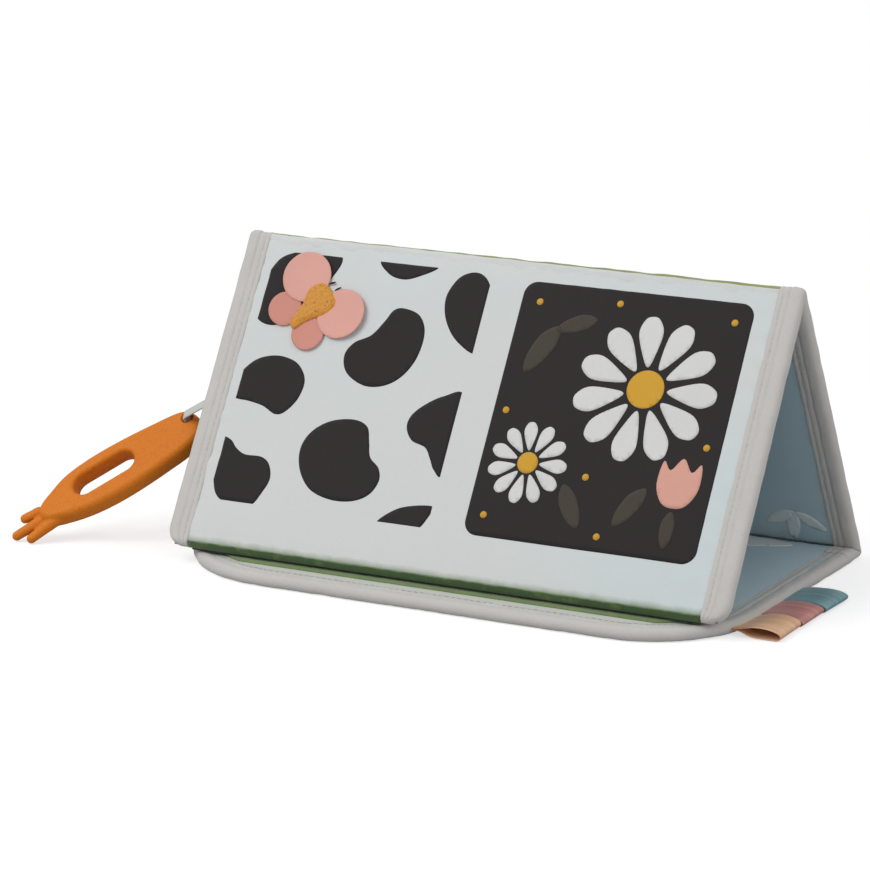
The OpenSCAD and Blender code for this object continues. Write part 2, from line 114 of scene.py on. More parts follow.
def smooth(points, steps=6, closed=True):
    """Curve through the points, closed or open."""
    p = np.array(points, float)
    if closed:
        shifted = [np.roll(p, k, 0) for k in (1, 0, -1, -2)]
    else:
        p = np.vstack([2 * p[0] - p[1], p, 2 * p[-1] - p[-2]])
        shifted = [p[k:len(p) - 3 + k] for k in range(4)]
    a, b, c, d = (v[:, None, :] for v in shifted)
    t = (np.arange(steps) / steps)[None, :, None]
    q = 0.5 * (2 * b + (c - a) * t + (2 * a - 5 * b + 4 * c - d) * t ** 2
               + (3 * b - a - 3 * c + d) * t ** 3)
    q = q.reshape(-1, 2)
    return q if closed else np.vstack([q, p[-2:-1]])


def arc(x, y, r, start, end, n):
    """Points on a circle from one angle to another, in degrees."""
    a = np.radians(np.linspace(start, end, n))
    return np.column_stack([x + r * np.cos(a), y + r * np.sin(a)])


def spaced(loop, step):
    """The same closed outline with points an even step apart; corners stay."""
    loop = np.array(loop, float)
    out = []
    for a, b in zip(loop, np.roll(loop, -1, 0)):
        n = max(1, int(math.ceil(np.linalg.norm(b - a) / step)))
        out += [a + (b - a) * k / n for k in range(n)]
    return np.array(out)


def inside(points, loops):
    """Which points lie inside an odd number of the loops."""
    hit = np.zeros(len(points), bool)
    x, y = points[:, 0], points[:, 1]
    for loop in loops:
        for (ax, ay), (bx, by) in zip(loop, np.roll(loop, -1, 0)):
            if ay != by:
                hit ^= ((ay > y) != (by > y)) & (x < (bx - ax) * (y - ay) / (by - ay) + ax)
    return hit


def edge_distance(points, loops):
    """Distance of each point to the nearest outline edge."""
    best = np.full(len(points), 1e9)
    for loop in loops:
        for a, b in zip(loop, np.roll(loop, -1, 0)):
            ab = b - a
            t = np.clip(((points - a) @ ab) / max(ab @ ab, 1e-12), 0, 1)
            best = np.minimum(best, np.linalg.norm(points - a - t[:, None] * ab, axis=1))
    return best


def clip_box(loop, x0, y0, x1, y1):
    """A loop cut to a box."""
    for axis, limit, sign in ((0, x0, 1), (0, x1, -1), (1, y0, 1), (1, y1, -1)):
        out = []
        for a, b in zip(loop, np.roll(loop, -1, 0)):
            ina, inb = sign * (a[axis] - limit) >= 0, sign * (b[axis] - limit) >= 0
            if ina:
                out.append(a)
            if ina != inb:
                out.append(a + (b - a) * (limit - a[axis]) / (b[axis] - a[axis]))
        loop = np.array(out)
    return loop


def place_object(name, mesh):
    obj = bpy.data.objects.new(name, mesh)
    bpy.context.scene.collection.objects.link(obj)
    return obj


def build(name, verts, faces, mat, uv, sharp=None):
    """A mesh object at the origin from millimetre points; closed parts get outward normals."""
    mesh = bpy.data.meshes.new(name)
    points = [tuple(v) for v in np.asarray(verts, float) * MM]
    mesh.from_pydata(points, [], [tuple(map(int, f)) for f in faces])
    layer = mesh.uv_layers.new(name="Cloth")
    corner = np.zeros(len(mesh.loops), np.int64)
    mesh.loops.foreach_get("vertex_index", corner)
    layer.data.foreach_set("uv", (np.asarray(uv, float)[corner] * MM).astype(np.float32).ravel())
    bm = bmesh.new()
    bm.from_mesh(mesh)
    bmesh.ops.remove_doubles(bm, verts=bm.verts, dist=1e-7)
    bmesh.ops.dissolve_degenerate(bm, edges=bm.edges, dist=1e-8)
    bmesh.ops.recalc_face_normals(bm, faces=bm.faces)
    bm.to_mesh(mesh)
    bm.free()
    mesh.polygons.foreach_set("use_smooth", [True] * len(mesh.polygons))
    if sharp:
        mesh.set_sharp_from_angle(angle=math.radians(sharp))
    mesh.materials.append(mat)
    return place_object(name, mesh)


def assign(piece, body, nodes):
    """Says which body the piece moves with, which nodes it stands for."""
    if body:
        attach(piece, body)
    if nodes:
        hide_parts(*nodes)
    return piece


def fill(points, loops):
    """Triangles inside the loops, whose points come first: (points, triangles, source of each point)."""
    edges, start = [], 0
    for loop in loops:
        n = len(loop)
        edges += [(start + i, start + (i + 1) % n) for i in range(n)]
        start += n
    out, _, tris, sources, _, _ = geometry.delaunay_2d_cdt([Vector(p) for p in points], edges, [], 0, 1e-6)
    out = np.array([[v.x, v.y] for v in out])
    tris = np.array([t for t in tris if len(t) == 3])
    return out, tris[inside(out[tris].mean(1), loops)], sources


def patch(name, loops, place, top, bottom, mat, grid=2.0, extra=None):
    """A closed piece over a flat outline: top and bottom give the heights of its two faces."""
    loops = [spaced(loop, grid) for loop in loops]
    ring = np.vstack(loops)
    lo, hi = ring.min(0) + [grid / 2, grid / 2], ring.max(0)
    gx, gy = np.meshgrid(np.arange(lo[0], hi[0], grid), np.arange(lo[1], hi[1], grid))
    pts = np.column_stack([gx.ravel(), gy.ravel()])
    if extra is not None:
        rows = np.unique(np.round(extra[:, 1], 4))
        pts = np.vstack([pts[np.abs(pts[:, 1:] - rows).min(1) > 0.5 * grid], extra])
    pts = pts[inside(pts, loops)]
    pts = pts[edge_distance(pts, loops) > 0.35 * min(grid, 1.2)]
    out, tris, _ = fill(np.vstack([ring, pts]), loops)
    n = len(out)
    sides = [(int(t[i]), int(t[(i + 1) % 3])) for t in tris for i in range(3)]
    used = set(sides)
    rim = [(a, b) for a, b in sides if (b, a) not in used]
    x, d = out.T
    verts = np.vstack([place(x, d, h(x, d) if callable(h) else h) for h in (top, bottom)])
    faces = [tuple(t) for t in tris] + [tuple(t[::-1] + n) for t in tris]
    faces += [(b, a, a + n, b + n) for a, b in rim]
    return build(name, verts, faces, mat, np.vstack([out, out]))


def rows_at(half, rows, step=2.4):
    """Extra points in rows across a page, where its face curves over."""
    x = np.arange(-half + step / 2, half, step)
    return np.vstack([np.column_stack([x, np.full(len(x), r)]) for r in rows])


def skin(n, m, start=0, closed_path=False):
    """Faces between n rings of m points each."""
    pairs = [(start + i * m, start + (i + 1) % n * m) for i in range(n if closed_path else n - 1)]
    return [(i + k, i + (k + 1) % m, j + (k + 1) % m, j + k) for i, j in pairs for k in range(m)]


def caps(n, m, start=0):
    last = start + (n - 1) * m
    return [tuple(range(start, start + m)), tuple(range(last + m - 1, last - 1, -1))]


def run_along(points):
    """Length along a line of points, from 0 at the first."""
    return np.concatenate([[0], np.cumsum(np.linalg.norm(np.diff(points, axis=0), axis=1))])


def tube(name, rings, mat, uv=None, closed_path=False, sharp=None):
    """A closed solid through rings of points; the ends are capped."""
    rings = np.array(rings, float)
    n, m = rings.shape[:2]
    faces = skin(n, m, 0, closed_path) + ([] if closed_path else caps(n, m))
    if uv is None:
        uv = [[a, b] for a in run_along(rings[:, 0]) for b in run_along(rings[n // 2])]
    return build(name, rings.reshape(-1, 3), faces, mat, uv, sharp)


def beads(name, spots, mat, length=2.5, width=0.55, height=0.3):
    """Thread stitches: small spindles at (place, direction, outwards), as one object."""
    spindle, turns = [(-1, 0.02), (-0.8, 0.65), (0, 1), (0.8, 0.65), (1, 0.02)], 6
    verts, faces = [], []
    for p, t, n in spots:
        t = t / np.linalg.norm(t)
        side = np.cross(n, t)
        faces += skin(len(spindle), turns, len(verts)) + caps(len(spindle), turns, len(verts))
        for s, r in spindle:
            for a in np.arange(turns) * 2 * math.pi / turns:
                verts.append(p + t * s * length / 2 + side * math.cos(a) * r * width / 2
                             + n * math.sin(a) * r * height / 2)
    return build(name, verts, faces, mat, np.array(verts)[:, :2])


# Materials
def add_node(tree, kind, inputs=None, out=0, **values):
    """One output of a new shader node; an input is a value or another node's output."""
    n = tree.nodes.new(kind)
    for k, v in values.items():
        setattr(n, k, v)
    for k, v in (inputs or {}).items():
        if hasattr(v, "is_linked"):
            tree.links.new(v, n.inputs[k])
        else:
            n.inputs[k].default_value = v
    return n.outputs[out] if n.outputs else None


# Length of one band of Blender's wave texture at a scale of 1
WAVE_UNIT = 0.31416


class Nodes:
    """A short way to write a material's node tree."""

    def __init__(self, name, colour, rough, **inputs):
        self.mat = bpy.data.materials.new(name)
        self.mat.use_nodes = True
        self.tree = self.mat.node_tree
        self.shader = self.tree.nodes["Principled BSDF"]
        self.colour = (*colour, 1)
        for k, v in {"Roughness": rough, "Base Color": self.colour, **inputs}.items():
            self.shader.inputs[k.replace("_", " ")].default_value = v
        self.height = None
        self.uv = self.node("ShaderNodeUVMap", uv_map="Cloth")
        self.obj = self.node("ShaderNodeTexCoord", out="Object")

    def node(self, kind, inputs=None, out=0, **values):
        return add_node(self.tree, kind, inputs, out, **values)

    def math(self, operation, a, b):
        return self.node("ShaderNodeMath", {0: a, 1: b}, operation=operation)

    def times(self, a, b):
        return self.math("MULTIPLY", a, b)

    def spread(self, value, lo, hi):
        """0 up to lo, 1 from hi on."""
        return self.node("ShaderNodeMapRange", {"Value": value, "From Min": lo, "From Max": hi})

    def noise(self, scale, detail=3.0, rough=0.55, stretch=None):
        at = self.obj
        if stretch:
            at = self.node("ShaderNodeMapping", {"Vector": at, "Scale": stretch})
        inputs = {"Vector": at, "Scale": scale, "Detail": detail, "Roughness": rough}
        return self.node("ShaderNodeTexNoise", inputs, "Fac")

    def wave(self, period, direction, distort=0.0):
        inputs = {"Vector": self.uv, "Scale": WAVE_UNIT / period, "Distortion": distort, "Detail": 1.0,
                  "Detail Scale": 1.0}
        return self.node("ShaderNodeTexWave", inputs, "Fac", bands_direction=direction, wave_profile="SIN")

    def axis(self, source, k):
        return self.node("ShaderNodeSeparateXYZ", {0: source}, k)

    def ragged(self, value, scale, amount):
        """A coordinate with noise, so that a print ends unevenly."""
        centred = self.math("SUBTRACT", self.noise(scale, 2.0), 0.5)
        return self.math("ADD", value, self.times(centred, amount))

    def tint(self, share, colour):
        """Mixes a colour over the one so far."""
        inputs = {0: share, 6: self.colour, 7: (*colour, 1)}
        self.colour = self.node("ShaderNodeMix", inputs, 2, data_type="RGBA")

    def mottle(self, scale, lo, hi, amount, colour, detail=3.0):
        """Tints where the noise lies above lo, fully from hi on."""
        self.tint(self.times(self.spread(self.noise(scale, detail), lo, hi), amount), colour)

    def lift(self, value, amount):
        """Adds to the bump height, in metres."""
        part = self.times(value, amount)
        self.height = part if self.height is None else self.math("ADD", self.height, part)

    def done(self):
        self.tree.links.new(self.colour, self.shader.inputs["Base Color"])
        bump = self.node("ShaderNodeBump", {"Height": self.height, "Strength": 1.0, "Distance": 1.0})
        self.tree.links.new(bump, self.shader.inputs["Normal"])
        return self.mat


def darker(c, k):
    return [v * k for v in c]


def cloth(name, colour, rough=0.86, sheen=0.15, period=0.0007, weave=0.00003, mottle=0.06, fuzz=0.0):
    """Woven cloth: crossed threads in the bump, uneven dye, a soft nap."""
    m = Nodes(name, colour, rough, Sheen_Weight=sheen, Sheen_Roughness=0.6, Specular_IOR_Level=0.25)
    m.lift(m.times(m.wave(period, "X"), m.wave(period, "Y")), weave)
    m.mottle(38.0, 0.35, 0.7, mottle, darker(colour, 0.6))
    m.mottle(900.0, 0.4, 0.7, mottle * 0.8, darker(colour, 0.72), 2.0)
    m.lift(m.noise(420.0), 0.00005)
    if fuzz:
        m.lift(m.noise(1800.0, rough=0.7), fuzz)
    return m


WHITE, WHITE_COOL, FOOT_GREEN = rgb(216, 219, 218), rgb(200, 220, 225), rgb(104, 134, 78)
INSIDE, INSIDE_PALE, INSIDE_BLUE = rgb(178, 202, 212), rgb(196, 214, 220), rgb(150, 185, 196)
TAPE, LEDGE_PAINTED_LIGHT = rgb(205, 202, 198), rgb(208, 211, 204)
GREEN, GREEN_WORN, GREEN_PALE = rgb(150, 158, 98), rgb(150, 165, 95), rgb(196, 206, 178)
SILICONE, SILICONE_DEEP, SILICONE_GRAIN = rgb(221, 124, 16), rgb(205, 108, 14), rgb(178, 92, 12)
THREAD, THREAD_GROOVE_SHADE, THREAD_DARK = rgb(226, 155, 32), rgb(170, 100, 15), rgb(120, 70, 20)


def page_outside(name, tinted):
    """White cloth; a tinted one is cooler at the upper right, and green where it turns in at the foot."""
    m = cloth(name, WHITE, 0.84, 0.12, mottle=0.04)
    if tinted:
        x, d = m.axis(m.uv, 0), m.axis(m.uv, 1)
        wash = m.math("ADD", m.times(m.spread(x, 0.02, 0.135), 0.6), m.times(m.spread(d, 0.135, 0.0), 0.22))
        m.tint(m.times(m.times(wash, m.spread(m.noise(14.0, 2.0), 0.3, 0.62)), 0.8), WHITE_COOL)
        low = m.ragged(d, 160.0, 2.5 * MM)
        m.tint(m.times(m.spread(low, (REACH - 2.5) * MM, (REACH + 1.5) * MM), 0.8), FOOT_GREEN)
    return m.done()


def page_inside(name):
    """Pale blue cloth with a clouded print; paler on the ledge before the foot, out of the tent's shade:
    painted light.
    """
    m = cloth(name, INSIDE, 0.86, 0.12, mottle=0.04)
    m.mottle(9.0, 0.42, 0.62, 0.6, INSIDE_PALE, 2.0)
    m.mottle(17.0, 0.55, 0.7, 0.35, INSIDE_BLUE, 2.0)
    # Paler in front of the foot, where the ledge is out of the tent's shade: painted light.
    m.tint(m.spread(m.axis(m.obj, 1), FOOT_Y * MM, (FOOT_Y - 3) * MM), LEDGE_PAINTED_LIGHT)
    return m.done()


def tape(name):
    m = cloth(name, TAPE, 0.82, 0.2, 0.0006, 0.00004, 0.10)
    m.lift(m.wave(0.0011, "X", 0.4), 0.00002)
    return m.done()


def green(name, colour=GREEN, fade=None):
    """Green cloth; fade gives the heights between which its print runs out into the white of the page."""
    m = cloth(name, colour, 0.9, 0.3, 0.0008, 0.00006, 0.2, 0.00004)
    m.mottle(60.0, 0.45, 0.7, 0.45, darker(colour, 0.6))
    m.mottle(140.0, 0.55, 0.75, 0.25, GREEN_WORN, 2.0)
    if fade:
        z = m.ragged(m.axis(m.obj, 2), 150.0, 1.2 * MM)
        m.tint(m.times(m.spread(z, fade[0] * MM, fade[1] * MM), 0.95), GREEN_PALE)
    return m.done()


def ink(name, colour):
    return cloth(name, colour, 0.8, 0.06, mottle=0.1).done()


def satin(name, colour, glow):
    m = Nodes(name, colour, 0.42, Sheen_Weight=0.35, Sheen_Roughness=0.3, Anisotropic=0.5)
    m.lift(m.wave(0.00045, "Y"), 0.00002)
    m.lift(m.wave(0.0004, "X"), 0.000012)
    # Lighter streaks along the ribbon in the glow colour: a painted sheen.
    m.tint(m.spread(m.noise(90.0, 2.0, stretch=(0.3, 3.0, 1.0)), 0.35, 0.7), glow)
    return m.done()


def silicone(name):
    m = Nodes(name, SILICONE, 0.55, Subsurface_Weight=0.06, Subsurface_Radius=(0.004, 0.0015, 0.0004),
              Subsurface_Scale=0.5, Specular_IOR_Level=0.3)
    m.mottle(45.0, 0.4, 0.7, 0.25, SILICONE_DEEP)
    m.mottle(950.0, 0.5, 0.68, 0.28, SILICONE_GRAIN, 2.0)
    m.lift(m.noise(950.0, 2.0), 0.00022)
    m.lift(m.noise(300.0, 2.0), 0.00006)
    return m.done()


def embroidery(name):
    m = Nodes(name, THREAD, 0.5, Sheen_Weight=0.3)
    threads = m.wave(0.00055, "DIAGONAL", 0.6)
    m.lift(threads, 0.00012)
    # Darker where the thread waves dip, in the grooves between stitches: painted shade.
    m.tint(m.times(m.spread(threads, 0.55, 0.1), 0.55), THREAD_GROOVE_SHADE)
    m.mottle(900.0, 0.62, 0.68, 0.8, THREAD_DARK, 2.0)
    return m.done()


def hook_plastic(name):
    m = Nodes(name, rgb(44, 66, 32), 0.7)
    dots = m.node("ShaderNodeTexVoronoi", {"Vector": m.obj, "Scale": 900.0})
    m.lift(dots, -0.0003)
    # Darker between the raised dots, where the bump is low: painted shade.
    m.tint(m.spread(dots, 0.2, 0.5), rgb(30, 46, 22))
    return m.done()


M = {"outside": page_outside("page_cloth_tinted", True), "plain": page_outside("page_cloth_plain", False),
     "inside": page_inside("inside_cloth_printed"), "tape": tape("edge_tape_woven"),
     "green": green("green_fold_cloth"), "strip": green("green_loop_strip", rgb(116, 140, 84)),
     # The flap's green is made dark for the shade under the page's foot: painted shade; its paler top is the
     # print running out.
     "flap": green("green_flap_cloth_painted_shade", rgb(52, 84, 30), (FOOT_Z + 0.4, FOOT_Z + 2.6)),
     "embroidery": embroidery("orange_embroidery"), "teether": silicone("orange_silicone"),
     "hook": hook_plastic("hook_tape_plastic"),
     "peach": satin("peach_satin", rgb(218, 160, 112), rgb(236, 196, 160)),
     "rose": satin("rose_satin", rgb(186, 112, 108), rgb(214, 148, 142)),
     "teal": satin("teal_satin", rgb(84, 136, 144), rgb(128, 172, 178))}
for key, name, colour in (
        ("black", "black_print_ink", (38, 33, 34)), ("white", "white_print_ink", (222, 222, 220)),
        ("gold", "gold_print_ink", (216, 165, 55)), ("pink", "pink_print_ink", (224, 168, 152)),
        ("brown", "brown_print_ink", (70, 64, 56)), ("pale", "pale_print_ink", (222, 228, 228)),
        ("thread", "pale_thread", (198, 195, 190)), ("wing", "wing_felt", (228, 170, 158)),
        ("wing_dark", "wing_felt_deep", (214, 148, 134)), ("loop", "pale_loop_ribbon", (205, 208, 205)),
        ("black_thread", "black_thread_satin", (30, 27, 27))):
    M[key] = ink(name, rgb(*colour))


# Padded pages
def rise(distance, soft):
    return 1 - np.exp(-np.maximum(distance, 0) / soft)


def round_end(distance, radius):
    """Share of full height near an end that rounds over."""
    t = np.clip(distance / radius, 0, 1)
    return np.sqrt(np.clip(1 - (1 - t) ** 2, 0, 1))


def page_face(seed, near, far, low, full, pucker=0.2, far_round=FACE, near_round=FACE):
    """Height of a padded page's face above its middle: full between its sewn edges, with puckers there."""
    broad = ripples(seed, 45, 130)
    long_d, long_x = ripples(seed + 1, 6, 13, squeeze=(3.0, 1)), ripples(seed + 2, 6, 13, squeeze=(1, 3.0))

    def height(x, d):
        side = INNER + 1.5 - np.abs(x)
        start, end = d - near, far - d
        h = low + (full - low) * rise(side, 8) * rise(start - 2, 7) * rise(end - 2, 7)
        h = h + 0.16 * broad(x, d) * rise(side, 15) * rise(start, 12) * rise(end, 12)
        at_ends = np.exp(-np.maximum(start, 0) / 9) + np.exp(-np.maximum(end, 0) / 9)
        h = h + pucker * (long_d(x, d) * np.exp(-np.maximum(side, 0) / 8) + 0.8 * long_x(x, d) * at_ends)
        h = h * round_end(start, near_round)
        return h * round_end(end, far_round) if far_round else h
    return height


def base_plan(inset, near):
    """Plan of the base, inset from its outline: (x, distance from the fold)."""
    half, far, right, left = (v - inset for v in (HALF, DEPTH, CORNER_RIGHT, CORNER_LEFT))
    return np.vstack([[(-half, near), (half, near)], arc(half - right, far - right, right, 0, 90, 31),
                      arc(left - half, far - left, left, 90, 180, 31)])


INSET, NEAR, RIM, RIM_R, GRID = 4.5, 2.9, 0.5, 1.2, 2.2
PAD_HALF = HALF - INSET
CURVE = (0.06, 0.25, 0.6, 1.1, 1.8, 2.6)
FRONT_FAR, BACK_FAR, RIM_FAR = REACH + FACE, PITCH - NEAR, PITCH - RIM
STRIP_Y = FOOT_Y - FACE - STRIP_FRONT
STRIP_D0, STRIP_D1 = BACK_Y - STRIP_Y - STRIP_DEPTH, BACK_Y - STRIP_Y
front_outer_h = page_face(11, RIM, FRONT_FAR, 2.3, 3.0, near_round=RIM_R)
front_inner_h = page_face(21, NEAR, FRONT_FAR, 2.3, 3.0)
back_outer_h = page_face(31, RIM, RIM_FAR, 2.3, 3.0, far_round=RIM_R, near_round=RIM_R)
back_inner_h = page_face(41, NEAR, BACK_FAR, 2.3, 3.0)
base_soft = page_face(51, NEAR, DEPTH - 46, 2.35, 3.4, 0.16, far_round=0)
base_top_wave = ripples(57, 8, 20)


def base_top_h(x, d):
    """The inside is full behind the strip and pressed flat under it and under the tape."""
    calm = np.clip((STRIP_D0 - 2 - d) / 12, 0, 1)
    calm = calm * calm * (3 - 2 * calm)
    flat = 2.42 + 0.05 * base_top_wave(x, d) * (d > STRIP_D1 + 0.5)
    return (flat * (1 - calm) + base_soft(x, d) * calm) * round_end(d - NEAR, FACE)


def base_under_h(x, d):
    side = np.minimum(INNER - np.abs(x), DEPTH - TAPE_W - d)
    h = 2.5 + 0.48 * rise(side, 3) * rise(d - 8, 4)
    return np.minimum(h, BASE_MID - 0.01) * round_end(d - RIM, RIM_R)


def pad(name, place, height, sign, near, far, mat, nodes):
    """One face of a page with half of its filling; without a far end it has the base's plan."""
    rows = [near + v for v in CURVE]
    if far:
        rows += [far - v for v in CURVE]
        plan = np.array([[-PAD_HALF, near], [PAD_HALF, near], [PAD_HALF, far], [-PAD_HALF, far]], float)
    else:
        plan = base_plan(INSET, near)
    rows = rows_at(PAD_HALF, rows)
    o = patch(name, [plan], place, lambda x, d: sign * height(x, d), 0.0, M[mat], GRID, rows)
    assign(o, place.body, nodes)


pad("front_cover", front, front_outer_h, 1, RIM, FRONT_FAR, "outside",
    ["front_outer_cloth", "front_padding"])
pad("front_lining", front, front_inner_h, -1, NEAR, FRONT_FAR, "inside",
    ["front_inner_cloth"])
pad("back_cover", back, back_outer_h, 1, RIM, RIM_FAR, "plain",
    ["back_outer_cloth", "back_padding"])
pad("back_lining", back, back_inner_h, -1, NEAR, BACK_FAR, "inside", ["back_inner_cloth"])
pad("base_lining", base, base_top_h, 1, NEAR, None, "inside",
    ["base_inner_cloth", "base_padding"])
pad("base_underside", base, base_under_h, -1, RIM, None, "plain", ["base_outer_cloth"])

# Edge tape
crown = ripples(71, 9, 26)
fine = ripples(73, 3.5, 8)
STITCH_E, SEW_E = 9.5, 6.6
TOP_E = [12.0, 11.85, 11.4, 10.7, 10.0, 9.75, 9.5, 9.25, 9.0, 8.2, 7.4, 6.9, 6.6, 6.4, 6.1, 5.4, 4.4, 3.4]
TURN_E, TURN_R = 3.4, 3.2
# Where along their ripples the tapes' under sides, the right tapes and the base's tape start
UNDER, RIGHT_RUN, BASE_RUN = 377.0, 700, 1500
FOLD_SPAN, FLOOR_GAP, TAPE_SHARP = 16.0, 0.01, 50


def page_run(side):
    return RIGHT_RUN * (side > 0)


def tape_top(e, s):
    """Height of the folded tape's face at a distance from its outer edge: puffed outside two sewn lines."""
    e, s = np.broadcast_arrays(np.asarray(e, float), np.asarray(s, float))
    h = 2.95 + 0.3 * np.exp(-((e - 4.6) / 1.9) ** 2)
    h = h - 0.42 * np.exp(-((e - SEW_E) / 0.45) ** 2) - 0.34 * np.exp(-((e - STITCH_E) / 0.4) ** 2)
    h = h - 0.5 * np.clip((e - 11.3) / 0.7, 0, 1) ** 2
    loose = np.where(e < 6.5, 0.10, 0.05)
    return h + loose * crown(s, e * 2) + 0.05 * fine(s, e * 1.5)


def section(s):
    """One ring of the tape: (inwards, height) from one inner edge round the outside to the other."""
    e = np.array(TOP_E)
    turn = np.radians([72, 54, 36, 18])
    top = np.column_stack([e, tape_top(e, s)])
    low = np.column_stack([e, -tape_top(e, s + UNDER)])[::-1]
    over, under = (np.column_stack([TURN_R * (1 - np.cos(turn)), h * np.sin(turn)])
                   for h in (tape_top(TURN_E, s), -tape_top(TURN_E, s + UNDER)))
    ring = np.vstack([top, over, [[0.0, 0.0]], under[::-1], low])
    ring[:, 0] += 0.12 * crown(s, 91.0) * np.clip(1 - ring[:, 0] / 6, 0, 1)
    return ring


def ring_at(outer, inward, normal, ring):
    return outer + ring[:, :1] * inward + ring[:, 1:] * normal


def steps(a, b, step=2.0):
    n = max(2, int(round(abs(b - a) / step)))
    return np.linspace(a, b, n + 1)


CORNER_D = REACH + EDGE_R - FOOT_CORNER


def foot_shape(ring, d):
    """The front page's lower corners are rounded and its end closes."""
    past = np.clip(d - CORNER_D, 0, FOOT_CORNER)
    off = FOOT_CORNER - math.sqrt(max(FOOT_CORNER ** 2 - past ** 2, 0))
    ring[:, 0] = off + ring[:, 0] * (TAPE_W - off) / TAPE_W
    t = np.clip((d - REACH) / EDGE_R, 0, 0.999)
    ring[:, 1] *= math.sqrt(1 - t * t)
    return ring


def same_shape(ring, _):
    return ring


def tape_piece(name, rings, body, node):
    o = assign(tube(name, rings, M["tape"], sharp=TAPE_SHARP), body, [node])
    return o


foot_rows = np.array([1.5, 3, 4.5, 5.6, 6.4, 7.1, 7.7, 8.2, 8.6, 8.85, 8.97])
foot_rows = np.concatenate([steps(FOLD_SPAN, CORNER_D), CORNER_D + foot_rows])
for word, side in (("left", -1), ("right", 1)):
    for page, place, distances, shape in (("front", front, foot_rows, foot_shape),
                                          ("back", back, steps(FOLD_SPAN, PITCH - FOLD_SPAN), same_shape)):
        rings = [ring_at(place(side * HALF, d, 0), np.array([-side, 0, 0]), place.out,
                         shape(section(d + page_run(side)), d)) for d in distances]
        tape_piece(f"{page}_tape_{word}", rings, place.body, f"{page}_binding_{word}")


def corner_path(side, r, step):
    arc = np.linspace(0, math.pi / 2, int(r * math.pi / 2 / step))[1:-1]
    outwards = [(side * math.cos(a), -math.sin(a)) for a in arc]
    return [((side * (HALF - r) + r * x, r - BACK_Y + r * y), (-x, -y)) for x, y in outwards]


def base_path(step=2.0):
    """Outer edge of the base from its right side round to its left: (distance run, point, inwards)."""
    start = BACK_Y - FOLD_SPAN
    out = [((HALF, y), (-1, 0)) for y in steps(start, CORNER_RIGHT - BACK_Y, step)]
    out += corner_path(1, CORNER_RIGHT, step)
    out += [((x, -BACK_Y), (0, 1)) for x in steps(HALF - CORNER_RIGHT, CORNER_LEFT - HALF, step)]
    out += corner_path(-1, CORNER_LEFT, step)[::-1]
    out += [((-HALF, y), (1, 0)) for y in steps(CORNER_LEFT - BACK_Y, start, step)]
    points = np.array([[x, y, BASE_MID] for (x, y), _ in out])
    return [(s, p, np.array([*inward, 0.0])) for s, p, (_, inward) in zip(run_along(points), points, out)]


rings = []
for s, p, inward in base_path():
    ring = section(s + BASE_RUN)
    ring[:, 1] *= 1 - 0.15 * np.clip((ring[:, 0] - 2.5) / 3.5, 0, 1)
    ring[:, 1] = np.maximum(ring[:, 1], FLOOR_GAP - BASE_MID)
    rings.append(ring_at(p, inward, np.array([0, 0, 1.0]), ring))
tape_piece("base_tape", rings, "base_page", "base_binding")


def held(ring, limit):
    """The ring with its inner half pressed to this depth."""
    ring[:, 1] = np.maximum(ring[:, 1], -limit)
    return ring


def fold_rings(side, axis_point, fold, *pages):
    """Tape round a fold, from one page over the outside of the fold to the other; inside, it meets at a
    crease. A page is (direction from the fold, outwards, ripples' place for a distance)."""
    axis_point = np.array(axis_point, float) + [side * HALF, 0, 0]
    inward = np.array([-side, 0, 0], float)
    near = np.concatenate([np.arange(FOLD_SPAN, 6, -2.0), [5.6, 4.8, 3.8, 2.8, 1.8, 0.9]])
    depth = np.maximum(near * math.tan(fold / 2) - 0.03, 0)
    ends = [[held(section(run(d)), limit) for d, limit in zip(near, depth)] for _, _, run in pages]
    arms = [[ring_at(axis_point + along * d, inward, out, ring) for d, ring in zip(near, arm)]
            for (along, out, _), arm in zip(pages, ends)]
    a, b = (out for _, out, _ in pages)
    bend_axis = np.cross(a, b)
    bend_axis /= np.linalg.norm(bend_axis)
    full = math.acos(np.clip(a @ b, -1, 1))
    bend = []
    for t in np.arange(13) / 12:
        normal = np.array(Matrix.Rotation(full * t, 3, Vector(bend_axis)) @ Vector(a))
        ring = held(ends[0][-1] * (1 - t) + ends[1][-1] * t, 0.0)
        bend.append(ring_at(axis_point, inward, normal, ring))
    return arms[0] + bend + arms[1][::-1]


def across_fold(o, fold):
    """Bakes the piece's placement into its mesh."""
    point, first, last, bodies = fold
    n = last - first
    n /= np.linalg.norm(n)
    p = np.array(point, float)
    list(bodies)
    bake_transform(o)


back_up = -back.along
RIDGE_JOIN = (RIDGE, front.along, back.along, ("front_page", "back_page"))
BACK_JOIN = (BACK_FOLD, base.along, back_up, ("base_page", "back_page"))
base_end = base_path()[-1][0]
for word, side in (("left", -1), ("right", 1)):
    run = page_run(side)
    rings = fold_rings(side, RIDGE, math.pi - slope - lean, (front.along, front.out, lambda d: d + run),
                       (back.along, back.out, lambda d: d + run))
    across_fold(tape_piece("ridge_tape_" + word, rings, None, "ridge_wrap_" + word), RIDGE_JOIN)
    end = 0 if side > 0 else base_end
    rings = fold_rings(side, BACK_FOLD, lean,
                       (base.along, -base.out, lambda d: BASE_RUN + end + side * (d - FOLD_SPAN)),
                       (back_up, back.out, lambda d: PITCH - d + run))
    rings = [np.column_stack([r[:, :2], np.maximum(r[:, 2], FLOOR_GAP)]) for r in rings]
    across_fold(tape_piece("back_fold_tape_" + word, rings, None, "back_wrap_" + word), BACK_JOIN)


